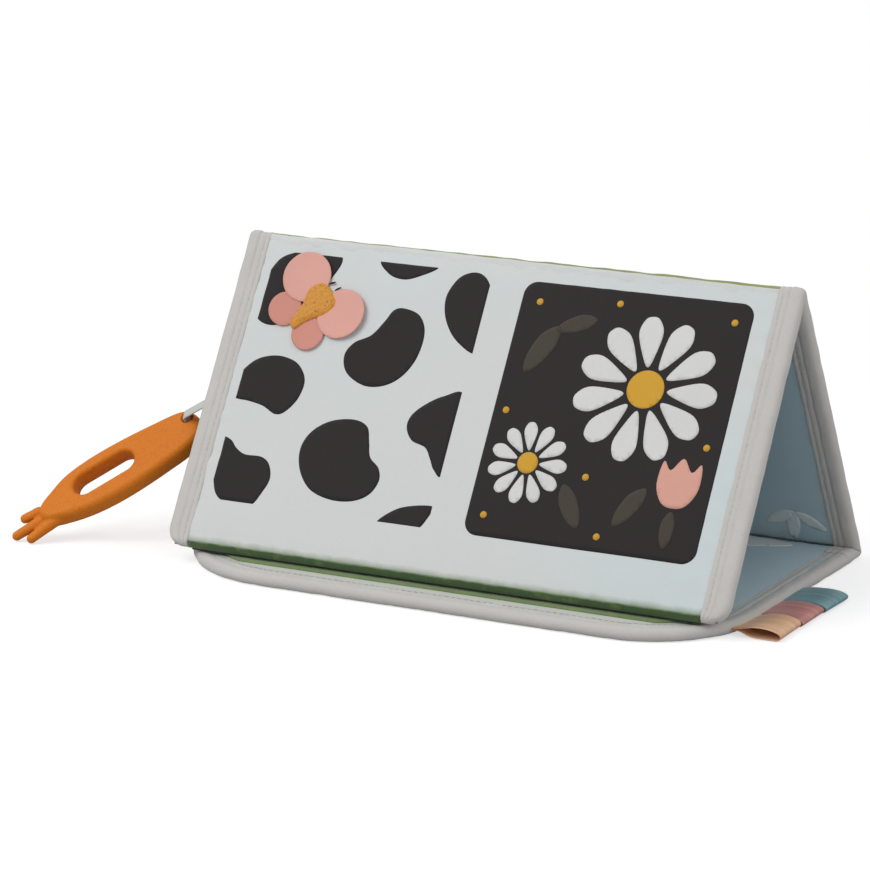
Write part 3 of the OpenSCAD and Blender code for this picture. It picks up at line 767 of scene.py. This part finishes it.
# Stitches
PITCH_S, PROUD = 3.1, 0.06
FACES = ((1, 0), (-1, UNDER))
for page, place, last in (("front", front, REACH - 1), ("back", back, PITCH - 8)):
    spots = []
    for side, (face, shift) in itertools.product((-1, 1), FACES):
        for d in np.arange(3, last, PITCH_S):
            h = tape_top(STITCH_E, d + page_run(side) + shift) + PROUD
            spots.append((place(side * (HALF - STITCH_E), d, face * h), place.along, place.out * face))
    assign(beads(page + "_stitches", spots, M["thread"]), place.body, None)

spots, goal = [], 1.5
for s, p, inward in base_path(0.775):
    if s >= goal:
        goal += PITCH_S
        for face, shift in FACES:
            h = tape_top(STITCH_E, s + BASE_RUN + shift) + PROUD
            up = face * np.array([0, 0, 1.0])
            h = h if face > 0 else min(h, BASE_MID - 0.1)
            spots.append((p + inward * STITCH_E + up * h, np.array([-inward[1], inward[0], 0]), up))
assign(beads("base_stitches", spots, M["thread"]), "base_page", None)


# Green folds, flap and strip
def line_normals(path):
    """Directions along a plane line and square to it."""
    t = np.gradient(path, axis=0)
    t /= np.linalg.norm(t, axis=1)[:, None]
    return t, np.column_stack([-t[:, 1], t[:, 0]])


def strip_from_path(name, path_at, half, thick, mat, wob=0.0, seed=5):
    """A cloth strip across the book: a path in (y, z) for each x, swept along x, with rounded long edges."""
    wave = ripples(seed, 9, 30)
    rings = []
    for x in np.linspace(-half, half, 90):
        path = np.array(path_at(x), float)
        m = len(path)
        held_ends = np.clip(np.minimum(np.arange(m), m - 1 - np.arange(m)) / 3.0, 0, 1)
        t, n = line_normals(path)
        mid = path + wob * wave(np.full(m, x), np.arange(m) * 1.5)[:, None] * n * held_ends[:, None]
        off, end = n * thick / 2, t * thick / 2
        loop = np.vstack([mid + off, mid[-1:] + end[-1:], (mid - off)[::-1], mid[:1] - end[:1]])
        rings.append(np.column_stack([np.full(len(loop), x), loop]))
    return tube(name, rings, mat)


def fold_path(axis, dir_a, out_a, dir_b, out_b, radius, cloth_a, cloth_b, tuck=8.0, depth=0.2):
    """Side view of a fold strip: out of one page, round the fold and into the other. The page's own cloth
    covers the first cloth_a and the last cloth_b degrees of the turn, which keep a fixed count of points."""
    axis, da, oa, db, ob = (np.array(v, float)[-2:] for v in (axis, dir_a, out_a, dir_b, out_b))
    a0, a1 = math.atan2(oa[1], oa[0]), math.atan2(ob[1], ob[0])
    a1 = a0 + (a1 - a0 + math.pi) % (2 * math.pi) - math.pi
    way = math.copysign(1, a1 - a0)
    b0, b1 = a0 + way * math.radians(cloth_a), a1 - way * math.radians(cloth_b)
    turn = np.concatenate([np.linspace(a0, b0, 7)[:-1], np.linspace(b0, b1, 9), np.linspace(b1, a1, 7)[1:]])
    first, last = ([axis + d * tuck * u + o * (depth + (radius - depth) * v)
                    for u, v in ((1, 0), (0.65, 0.45), (0.3, 0.8))] for d, o in ((da, oa), (db, ob)))
    return first + [axis + radius * np.array([math.cos(a), math.sin(a)]) for a in turn] + last[::-1]


def page_coloured(strip, first=9, last=17, count=27):
    """The stretches of a fold strip before and after these points of its path are the page's white cloth."""
    strip.data.materials.append(M["plain"])
    m = 2 * count + 2
    for n, face in enumerate(strip.data.polygons[:-2]):
        k = n % m
        at = k if k < count else 2 * count - k
        face.material_index = int(at < first or at >= last)


def ridge_path(x):
    """The white cloth runs over the ridge: the green is a thin line at the left, wider to the right."""
    cover = 44 - 30 * np.clip((x + 100) / 230, 0, 1)
    return fold_path(RIDGE, front.along, front.out, back.along, back.out, 2.1, cover, 30)


def back_fold_path(_):
    return fold_path(BACK_FOLD, base.along, -base.out, back_up, back.out, 2.0, 30, 30)


for name, node, path_at, seed, fold, cover in (
        ("ridge_strip", "ridge_gutter", ridge_path, 5, RIDGE_JOIN, "front_cover"),
        ("back_fold_strip", "back_gutter", back_fold_path, 6, BACK_JOIN, "base_lining")):
    o = strip_from_path(name, path_at, INNER + 2, 0.9, M["green"], 0.12, seed)
    page_coloured(o)
    assign(o, None, [node])
    across_fold(o, fold)

FLAP_R = FACE + FLAP_T / 2
start = math.degrees(math.atan2(front.out[2], front.out[1]) + 0.25)
lying = [(FOOT_Y + v, FOOT_REST - FLAP_T / 2) for v in (4, 9, 15, FLAP_DEPTH - FACE)]
flap_path = smooth(np.vstack([arc(FOOT_Y, FOOT_Z, FLAP_R, start, 270, 9), lying]), 3, closed=False)
o = strip_from_path("closing_flap_cloth", lambda x: flap_path, INNER - 0.2, FLAP_T, M["flap"])
assign(o, "front_page", ["closing_flap"])

fuzz = ripples(81, 1.6, 4)


def strip_top(x, d):
    lip = np.clip(1 - (STRIP_D1 - d) / 0.8, 0, 1)
    return FACE + STRIP_T - 0.12 + np.where(d > STRIP_D1 - 3, 0.07 * fuzz(x, d), 0.0) - 0.25 * lip ** 2


strip_plan = clip_box(base_plan(TAPE_W - 0.3, NEAR), -HALF, STRIP_D0, HALF, STRIP_D1)
lip_rows = rows_at(INNER - 0.1, [STRIP_D1 - v for v in (0.3, 0.8, 1.5, 2.3)], 1.6)
o = patch("loop_strip_cloth", [strip_plan], base, strip_top, FACE - 0.2, M["strip"], 2.0, lip_rows)
assign(o, "base_page", ["closure_strip"])
hook_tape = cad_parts["hook_tape"].data
hook_tape.materials.clear()
hook_tape.materials.append(M["hook"])

# Prints on the front page
PRINT_DROP, PRINT_H, SPOTS_GAP, SPOTS_W = 6.3, 121.7, 10.0, 113.0
PANEL_W, PANEL_GAP, PANEL_CORNER = 112.0, 7.5, 6.5
SPOTS = [
    [[-123.5, 17], [-119, 9.5], [-110, 5.5], [-99, 4], [-90, 4.5], [-87.3, 9], [-90.5, 17.5], [-95, 27],
     [-102, 37], [-113, 42.5], [-122, 41], [-127, 34], [-127, 24]],
    [[-67.5, 5.5], [-62, 11.8], [-54, 13.8], [-46, 11.3], [-38, 5.8], [-52, 2]],
    [[-19.5, 6.8], [-26, 10], [-30, 18.5], [-29, 27], [-24.5, 35], [-18, 41], [-9, 45], [-5, 38],
     [-5.5, 24], [-9.5, 13], [-14, 8]],
    [[-49.5, 27.5], [-41, 30], [-36.3, 38], [-37, 50], [-42, 59.5], [-50, 65], [-60, 66], [-70, 61],
     [-73.3, 53], [-70, 46.5], [-62.5, 42], [-57.5, 34.5], [-54.5, 29]],
    [[-104, 57], [-95.5, 59.8], [-90, 67], [-91, 76], [-96, 83], [-101, 84.6], [-108, 81.5], [-116, 80],
     [-124, 79], [-128, 73], [-123.5, 66], [-118.5, 60.5], [-112, 57.6]],
    [[-9, 64.5], [-18, 66.3], [-26, 71], [-31.8, 77], [-32.7, 83], [-28.5, 88.8], [-21, 91.3], [-17, 96.5],
     [-14, 101], [-9, 103], [-5, 84]],
    [[-124.5, 98.8], [-119.5, 99.4], [-115.8, 102.8], [-110.5, 105.3], [-102, 105.4], [-97, 108.4],
     [-94.4, 115], [-96.5, 122], [-101, 129], [-112, 129.5], [-119.5, 126], [-123.5, 118], [-127, 108]],
    [[-60, 82.5], [-52.5, 85], [-49.5, 92], [-47, 99], [-41.5, 103.5], [-39.6, 109.5], [-43, 116.5],
     [-51, 120.5], [-62, 121], [-73, 117.5], [-80.5, 109], [-83, 99], [-79.5, 90.5], [-71, 84.5]],
    [[-35.5, 129], [-28.5, 122], [-20, 118.8], [-9.5, 117.8], [-10.5, 122.5], [-15, 129.5], [-25, 131]]]
MID = np.array([PANEL_GAP + PANEL_W / 2, PRINT_DROP + PRINT_H / 2])
INK, SUNK = 0.09, 0.12


def printed(name, loops, level, mat, node, place=front, face=front_outer_h, sign=1):
    """Separate closed patches that lie on the cloth, joined as one piece."""
    proud = INK * (level + 1)

    def top(x, d):
        return sign * (face(x, d) + proud)

    def under(x, d):
        return sign * (face(x, d) + proud - INK - SUNK)
    made = [patch(f"{name}.{i}", [loop], place, top, under, M[mat], GRID) for i, loop in enumerate(loops)]
    o = made[0]
    if len(made) > 1:
        chosen = {"selected_objects": made, "selected_editable_objects": made}
        with bpy.context.temp_override(active_object=o, object=o, **chosen):
            bpy.ops.object.join()
    o.name = o.data.name = name
    assign(o, place.body, [node])


def turned(loop, at, degrees):
    c, s = math.cos(math.radians(degrees)), math.sin(math.radians(degrees))
    return np.array(loop) @ np.array([[c, s], [-s, c]]) + np.array(at)


def circle(at, r, n=40, squeeze=1.0, turn=0.0):
    return turned(arc(0, 0, r, 0, 360, n + 1)[:-1] * [1, squeeze], at, turn)


def rounded_box(x0, y0, x1, y1, r):
    left, right, low, high = x0 + r, x1 - r, y0 + r, y1 - r
    corners = ((right, low, -90), (right, high, 0), (left, high, 90), (left, low, 180))
    return np.vstack([arc(x, y, r, a, a + 90, 10) for x, y, a in corners])


field = (-SPOTS_GAP - SPOTS_W, PRINT_DROP, -SPOTS_GAP, PRINT_DROP + PRINT_H)
spots = [clip_box(smooth(s), *field) for s in SPOTS]
printed("spot_patches", spots, 0, "black", "spot_print")
panel = rounded_box(PANEL_GAP, PRINT_DROP + 1.5, PANEL_GAP + PANEL_W, PRINT_DROP + PRINT_H, PANEL_CORNER)
printed("dark_panel", [panel], 0, "black", "picture_panel")
DAISY = 34.0
FLOWERS = [(MID + [14, -15], DAISY), (MID + [-33, 25], DAISY * 0.56)]
PETAL = [[0.3, 0], [0.5, 0.1], [0.78, 0.17], [0.96, 0.1], [1, 0], [0.96, -0.1], [0.78, -0.17], [0.5, -0.1]]
PETALS, HEART = 11, 0.26


def leaf(n):
    """A leaf of length n along x."""
    half = [[-n / 2, 0], [-n / 5, n / 5], [n / 4, n / 6]]
    return smooth(half + [[n / 2, 0], [n / 4, -n / 7], [-n / 5, -n / 6]], 5)


petals = [turned(smooth(np.array(PETAL) * r, 4), at, i * 360 / PETALS)
          for at, r in FLOWERS for i in range(PETALS)]
printed("daisy_petals", petals, 1, "white", "petal_print")
hearts = [circle(at, r * HEART) for at, r in FLOWERS]
printed("daisy_hearts", hearts, 2, "gold", "flower_hearts")
TULIP = [[-9, -11], [-5, -7], [0, -13], [5, -7], [9, -11], [10, 0], [6, 8], [0, 10], [-6, 8], [-10, 0]]
printed("tulip_patch", [smooth(TULIP, 4) + MID + [40, 27]], 1, "pink", "tulip_print")
LEAVES = [(-8, 42, 22, 60), (-40, -28, 26, 118), (-26, -41, 20, 160), (20, 39, 22, 122), (40, 47, 17, 90)]
leaves = [turned(leaf(n), MID + [x, y], t) for x, y, n, t in LEAVES]
printed("leaf_patches", leaves, 1, "brown", "stalk_print")
SEEDS = [(-47, -50), (-8, -53), (48, -50), (49, 8), (-50, 2), (-4, 28), (-48, 51), (8, 54)]
seeds = [circle(MID + s, 1.6, 16) for s in np.array(SEEDS, float)]
printed("seed_dots", seeds, 1, "gold", "seed_print")
CLOUD = [[-30, 0], [-22, -9], [-8, -7], [4, -12], [18, -8], [28, 0], [16, 7], [-2, 9], [-18, 7]]
cloud = smooth(CLOUD) * [1, -1] + [84, 14]
printed("cloud_patch", [cloud], 0, "pale", "cloud_print", base, base_top_h)
blob = [turned(leaf(17) + [9, 0], (112, PITCH - 23), t) for t in (35, 100, 150)]
printed("leaf_blob", blob, 0, "pale", "leaf_print", back, back_inner_h, -1)

# Butterfly
WING_T, WING_UP, LEVEL = 0.6, 0.22, 0.55


def wing(name, at, r, squeeze, turn, level, lift, lift_dir, mat):
    """A felt wing sewn at the body, its free rim lifting off the page."""
    to_rim = np.array([math.cos(math.radians(lift_dir)), math.sin(math.radians(lift_dir))])

    def under(x, d):
        rel = (np.column_stack([x, d]) - at) / r
        raised = lift * np.clip(rel @ to_rim * 0.5 + 0.5, 0, 1) ** 2 * np.clip((rel ** 2).sum(1), 0, 1.2)
        return front_outer_h(x, d) + WING_UP + level * LEVEL + raised

    def over(x, d):
        rel = (np.column_stack([x, d]) - at) / r
        rim = np.clip(1 - (rel ** 2).sum(1), 0, 1)
        return under(x, d) + WING_T * (0.45 + 0.55 * np.clip(rim * 6, 0, 1) ** 0.5)
    o = patch("butterfly_" + name, [circle(at, r, 72, squeeze, turn)], front, over, under, M[mat], 1.1)
    assign(o, "front_page", [name])


wing("wing_upper", (-102.5, 18), 12.3, 0.98, 20, 1, 1.3, 250, "wing")
wing("wing_right", (-80.0, 34), 12.3, 0.98, 20, 1, 1.6, 10, "wing")
wing("wing_left", (-109.6, 34.3), 8.6, 0.95, 40, 0, 0.8, 170, "wing_dark")
wing("wing_lower", (-94.6, 44.8), 8.6, 0.95, 40, 0, 0.8, 70, "wing_dark")
HEAD, TAIL, HEAD_R = np.array([-92.4, 28.4]), np.array([-101.8, 41.5]), 8.2
HEAD_RIGHT = np.array([[1, 0], [0.6, 0.75], [-0.2, 1.15]])
HEAD_LEFT = np.array([[-1.05, 0.35], [-0.85, -0.6], [0, -1]])
TAIL_END = np.array([[4, -1.5], [-0.6, 2.2], [-3, -2]])
BODY = smooth(np.vstack([HEAD + HEAD_R * HEAD_RIGHT, TAIL + TAIL_END, HEAD + HEAD_R * HEAD_LEFT]))
rows = ripples(91, 0.9, 1.3, 10)


def body_top(x, d):
    depth = edge_distance(np.column_stack([x, d]), [BODY])
    dome = 1.25 * np.sqrt(np.clip(depth / 2.4, 0, 1)) + 0.25 * np.clip(depth / 6, 0, 1)
    across = (x * 0.77 + d * 0.64) * 2 * np.pi / 1.05
    thread = 0.09 * np.sin(across + 0.8 * np.sin(x * 0.9)) + 0.03 * rows(x, d)
    return front_outer_h(x, d) + 1.25 + dome + thread * np.clip(depth / 0.8, 0, 1)


o = patch("butterfly_body_stitching", [BODY], front, body_top, lambda x, d: front_outer_h(x, d) + 0.15,
          M["embroidery"], 0.5)
assign(o, "front_page", ["butterfly_body"])
feelers = [(front(x, d, front_outer_h(x, d) + 1.1),
            front(math.cos(math.radians(turn)), math.sin(math.radians(turn)), 0) - front(0, 0, 0), front.out)
           for x, d, turn in ((-88.7, 19.6, -18), (-85.0, 22.2, -32))]
assign(beads("butterfly_feeler_stitches", feelers, M["black_thread"], 3.6, 1.1, 0.8), "front_page",
       ["butterfly_feelers"])


# Ribbon tags
def ribbon(name, node, y_back, out, high, skew, seed):
    """A satin ribbon folded into a loop and sewn into the base's edge; it lies on the floor."""
    upper = [(-7.5, 3.2), (-3.2, 3.3), (0.6, 3.5), (6, high * 0.96), (out * 0.6, high)]
    turn = [(out - 3.2, high * 0.86), (out - 0.8, high * 0.66), (out, high * 0.42), (out - 1.2, 0.55)]
    lower = [(out - 4, 0.32), (out * 0.5, 0.3), (5, 0.75), (0.6, 2.3), (-3.2, 2.7), (-7.5, 2.8)]
    path = smooth(upper + turn + lower, 4, closed=False)
    thick, width, last = 0.42, 24.0, 24
    _, n = line_normals(path)
    wave, m = ripples(seed, 14, 40), len(path)
    free = np.clip(path[:, 0] / out, 0, 1)
    run = run_along(path)
    rings, uv = [], []
    for k, v in enumerate(np.linspace(0, 1, last + 1)):
        y = y_back - v * width
        mid = path.copy()
        mid[:, 0] += skew * (v - 0.5) * free * width
        mid[:, 1] += 0.12 * wave(np.full(m, y), path[:, 0]) * free * (path[:, 1] > 1.2)
        off = n * thick / 2 * (0.5 if k in (0, last) else 1.0)
        loop = np.vstack([mid + off, (mid - off)[::-1]])
        loop[:, 1] = np.maximum(loop[:, 1], 0.03)
        rings.append(np.column_stack([HALF + loop[:, 0], np.full(len(loop), y), loop[:, 1]]))
        uv += [[b, y] for b in (*run, *run[::-1])]
    o = assign(tube(name, rings, M[name[4:]], uv), "base_page", [node])


ribbon("tag_teal", "ribbon_teal", 18.5, 20.6, 4.3, -0.03, 61)
ribbon("tag_rose", "ribbon_pink", -5.7, 19.6, 4.4, 0.0, 62)
ribbon("tag_peach", "ribbon_peach", -29.9, 19.2, 5.0, 0.02, 63)

# Teether
SEAM_D = 83.2
SEAM = np.array([-HALF, RIDGE_Y - SEAM_D * math.cos(slope), RIDGE_Z - SEAM_D * math.sin(slope)])
AT = SEAM + [-12, 6.3, -15.8]
TURN, ROLL, STUB_R, TEETHER_T = math.radians(-145.2), math.radians(-33), 2.3, 10.0
STUBS = [(87.5, -5.7), (94.3, 1.0), (88.7, 7.2)]
STUB_ROOT, STUB_FLARE, STUB_BALLS = 68.0, 1.2, 25
lever = STUBS[2][1] * math.sin(ROLL)
DIP = math.asin((AT[2] - STUB_R - 0.05) / math.hypot(STUBS[2][0], lever)) + math.atan2(lever, STUBS[2][0])
turn, dip, roll = (Matrix.Rotation(a, 3, axis) for a, axis in ((TURN, "Z"), (DIP, "Y"), (ROLL, "X")))
T_ROT = np.array(turn @ dip @ roll)
EYE, EYE_R = np.array([-2.2, -4.0]), 3
SLOT_X, SLOT_Y, SLOT_HALF, SLOT_R = 44.3, -1.9, 10, 6
OUTLINE = [[-7, 0], [-4, 7], [4.6, 10.8], [17, 12.4], [32, 13.6], [45, 13.6], [58, 12], [70, 8.4], [79, 3.6],
           [79, -3.6], [70, -9.4], [61, -13.3], [48, -15], [32, -14.8], [14, -13], [0, -10.8], [-5, -7]]


def rim_rings(loop, radius, sign):
    """Rounded wall of a plate: (ring, height) from the lower face up; each ring is the loop scaled."""
    lo, hi = loop.min(0), loop.max(0)
    mid, half = (lo + hi) / 2, (hi - lo) / 2
    turn = np.linspace(0, math.pi / 2, 7)
    up = [(mid + (loop - mid) * (1 - sign * radius * (1 - math.cos(a)) / half),
           TEETHER_T / 2 - radius + radius * math.sin(a)) for a in turn]
    return [(r, -h) for r, h in reversed(up)] + up


def teether_mesh():
    """The plate with its hand slot, and rows of balls for the fingers at its end."""
    outer = smooth(OUTLINE, 9)[::-1]
    slot = np.vstack([arc(x, SLOT_Y, SLOT_R, a, a + 180, 19)
                      for x, a in ((SLOT_X + SLOT_HALF, -90), (SLOT_X - SLOT_HALF, 90))])
    verts, faces, tops, bottoms = [], [], [], []
    for wall in (rim_rings(outer, 3.4, 1), rim_rings(slot, 2.0, -1)):
        m, start = len(wall[0][0]), len(verts)
        verts += [(x, y, h) for ring, h in wall for x, y in ring]
        faces += skin(len(wall), m, start)
        bottoms.append((start, m))
        tops.append((len(verts) - m, m))
    for group in (tops, bottoms):
        idx = np.concatenate([np.arange(s, s + m) for s, m in group])
        loops = [np.array([v[:2] for v in verts[s:s + m]]) for s, m in group]
        _, tris, sources = fill(np.vstack(loops), loops)
        faces += [tuple(int(idx[sources[i][0]]) for i in t) for t in tris]
    mesh = bpy.data.meshes.new("teether_raw")
    mesh.from_pydata([tuple(np.array(v) * MM) for v in verts], [], faces)
    bm = bmesh.new()
    bm.from_mesh(mesh)
    for tip in STUBS:
        root = np.array([STUB_ROOT, tip[1] * 0.55])
        for t in np.linspace(0, 1, STUB_BALLS):
            p = root + (np.array(tip) - root) * t
            r = STUB_R + STUB_FLARE * (1 - t) ** 1.2
            bmesh.ops.create_uvsphere(bm, u_segments=16, v_segments=10, radius=r * MM,
                                      matrix=Matrix.Translation((p[0] * MM, p[1] * MM, 0)))
    bmesh.ops.recalc_face_normals(bm, faces=bm.faces)
    bm.to_mesh(mesh)
    bm.free()
    return mesh


raw = place_object("teether_raw", teether_mesh())
pin_mesh = bpy.data.meshes.new("eye_pin")
bm = bmesh.new()
bmesh.ops.create_cone(bm, segments=32, radius1=EYE_R * MM, radius2=EYE_R * MM, depth=20 * MM, cap_ends=True,
                      matrix=Matrix.Translation((EYE[0] * MM, EYE[1] * MM, 0)))
bm.to_mesh(pin_mesh)
bm.free()
pin = place_object("eye_pin", pin_mesh)
mod = raw.modifiers.new("Eye", "BOOLEAN")
mod.operation, mod.object, mod.solver = "DIFFERENCE", pin, "EXACT"
mod = raw.modifiers.new("Remesh", "REMESH")
mod.mode, mod.voxel_size = "VOXEL", 0.5 * MM
mod = raw.modifiers.new("Smooth", "SMOOTH")
mod.factor, mod.iterations = 0.5, 4
solid = bpy.data.meshes.new_from_object(raw.evaluated_get(bpy.context.evaluated_depsgraph_get()))
bpy.data.objects.remove(raw)
bpy.data.objects.remove(pin)
co = np.array([v.co for v in solid.vertices]) / MM
pebble = ripples(97, 1.5, 2.3, 26)
on_face = np.clip((np.abs(co[:, 2]) - 4.72) / 0.15, 0, 1)
zone = on_face * np.clip((co[:, 0] - 6) / 4, 0, 1) * np.clip((76 - co[:, 0]) / 3, 0, 1)
co[:, 2] -= np.sign(co[:, 2]) * zone * (0.12 - 0.13 * np.abs(pebble(co[:, 0], co[:, 1])))
faces = [tuple(p.vertices) for p in solid.polygons]
teether = build("teether_leaf", AT + co @ T_ROT.T, faces, M["teether"], co[:, :2])
assign(teether, "teether_body", ["teether"])

# The teether's ribbon loop, through its eye and into the page's seam
TO_SEAM, ASIDE = np.array([-0.804, 0.597]), np.array([-0.597, -0.804])
LOOP_W, LOOP_T = 4.6, 0.8
CORNERS = [(-1, -0.7), (-0.92, -1), (-0.4, -1.12), (0.4, -1.12), (0.92, -1), (1, -0.7)]
CORNERS += [(-w, -h) for w, h in CORNERS]
seam_local = (SEAM + [1.6, 0, 0] - AT) @ T_ROT
rel = seam_local[:2] - EYE
run_out, drift = np.array([rel @ TO_SEAM, seam_local[2]]), rel @ ASIDE
low = TEETHER_T / 2 + 1.0
pts = np.vstack([circle(c, 1.05, 28) for c in ((0.3, low), (0.3, -low), (8.4, -low), run_out)])
loop = spaced(pts[geometry.convex_hull_2d([Vector(p) for p in pts])], 0.7)
share = np.clip(loop @ run_out / (run_out @ run_out), 0, 1)
_, nrm = line_normals(np.vstack([loop[-1:], loop, loop[:1]]))
rings = []
for p, n, s in zip(loop, nrm[1:-1], share):
    ring = []
    for w, h in CORNERS:
        q = p + n * h * LOOP_T / 2
        xy = EYE + TO_SEAM * q[0] + ASIDE * (w * LOOP_W / 2 + drift * s ** 2)
        ring.append(AT + T_ROT @ np.array([*xy, q[1]]))
    rings.append(ring)
o = tube("teether_ribbon", rings, M["loop"], closed_path=True)
assign(o, "teether_body", ["teether_loop"])

# Floor: it keeps the object's shadow, and for the camera it glows and fades to white away from it
floor_mesh = bpy.data.meshes.new("floor")
corners = [(x, y, -0.0002) for x, y in ((-6, -6), (6, -6), (6, 6), (-6, 6))]
floor_mesh.from_pydata(corners, [], [(0, 1, 2, 3)])
floor_look = bpy.data.materials.new("floor_white")
floor_look.use_nodes = True
floor_mesh.materials.append(floor_look)
tree = floor_look.node_tree
tree.nodes.clear()
seen = add_node(tree, "ShaderNodeLightPath", out="Is Camera Ray")
diffuse = add_node(tree, "ShaderNodeBsdfDiffuse", {"Color": (0.55, 0.55, 0.55, 1)})
glow = add_node(tree, "ShaderNodeEmission", {"Strength": 0.62})
glow = add_node(tree, "ShaderNodeMixShader", {0: seen, 2: glow})
near = add_node(tree, "ShaderNodeAddShader", {0: diffuse, 1: glow})
middle = add_node(tree, "ShaderNodeTexCoord", out="Object")
away = add_node(tree, "ShaderNodeVectorMath", {0: middle}, "Value", operation="LENGTH")
away = add_node(tree, "ShaderNodeMapRange", {"Value": away, "From Min": 0.3, "From Max": 0.6})
away = add_node(tree, "ShaderNodeMath", {0: away, 1: seen}, operation="MULTIPLY")
white = add_node(tree, "ShaderNodeEmission")
look = add_node(tree, "ShaderNodeMixShader", {0: away, 1: near, 2: white})
add_node(tree, "ShaderNodeOutputMaterial", {0: look})
place_object("floor", floor_mesh)

# Light: a white world, at half strength except where it is seen, and two soft lamps
scene = bpy.context.scene
scene.view_settings.view_transform = "Standard"
scene.world = bpy.data.worlds.new("studio")
scene.world.use_nodes = True
tree = scene.world.node_tree
rays = ("Is Camera Ray", "Is Glossy Ray")
seen = {k: add_node(tree, "ShaderNodeLightPath", out=ray) for k, ray in enumerate(rays)}
seen = add_node(tree, "ShaderNodeMath", seen, operation="MAXIMUM")
level = add_node(tree, "ShaderNodeMapRange", {"Value": seen, "To Min": 0.5, "To Max": 1.0})
sky = tree.nodes["Background"].inputs
tree.links.new(level, sky["Strength"])
sky["Color"].default_value = (1, 1, 1, 1)


def lamp(name, at, to, size, watts):
    data = bpy.data.lights.new(name, "AREA")
    data.energy, data.size = watts, size
    obj = place_object(name, data)
    obj.location = at
    obj.rotation_euler = (Vector(to) - Vector(at)).to_track_quat("-Z", "Y").to_euler()


lamp("key", (-0.9, -1.3, 1.7), (0, 0, 0.06), 1.4, 22)
lamp("fill", (1.6, -0.5, 0.9), (0, 0, 0.06), 1.2, 5)

# Camera, solved on the corners of the front page
AZ, EL, DISTANCE = math.radians(27.97), math.radians(14.04), 1.8
FOCAL_PX, FRAME_PX, SENSOR = 4010.4, 870, 36.0
TARGET = Vector((-0.0215, -0.0270, 0.0642))
back_dir = Vector((math.sin(AZ) * math.cos(EL), -math.cos(AZ) * math.cos(EL), math.sin(EL)))
right_dir = Vector((math.cos(AZ), math.sin(AZ), 0))
cam_data = bpy.data.cameras.new("camera")
cam_data.sensor_width, cam_data.lens = SENSOR, SENSOR * FOCAL_PX / FRAME_PX
cam_data.clip_start, cam_data.clip_end = 0.05, 30
cam = place_object("camera", cam_data)
spin = Matrix((right_dir, back_dir.cross(right_dir), back_dir)).transposed().to_4x4()
cam.matrix_world = Matrix.Translation(TARGET + back_dir * DISTANCE) @ spin
scene.camera = cam
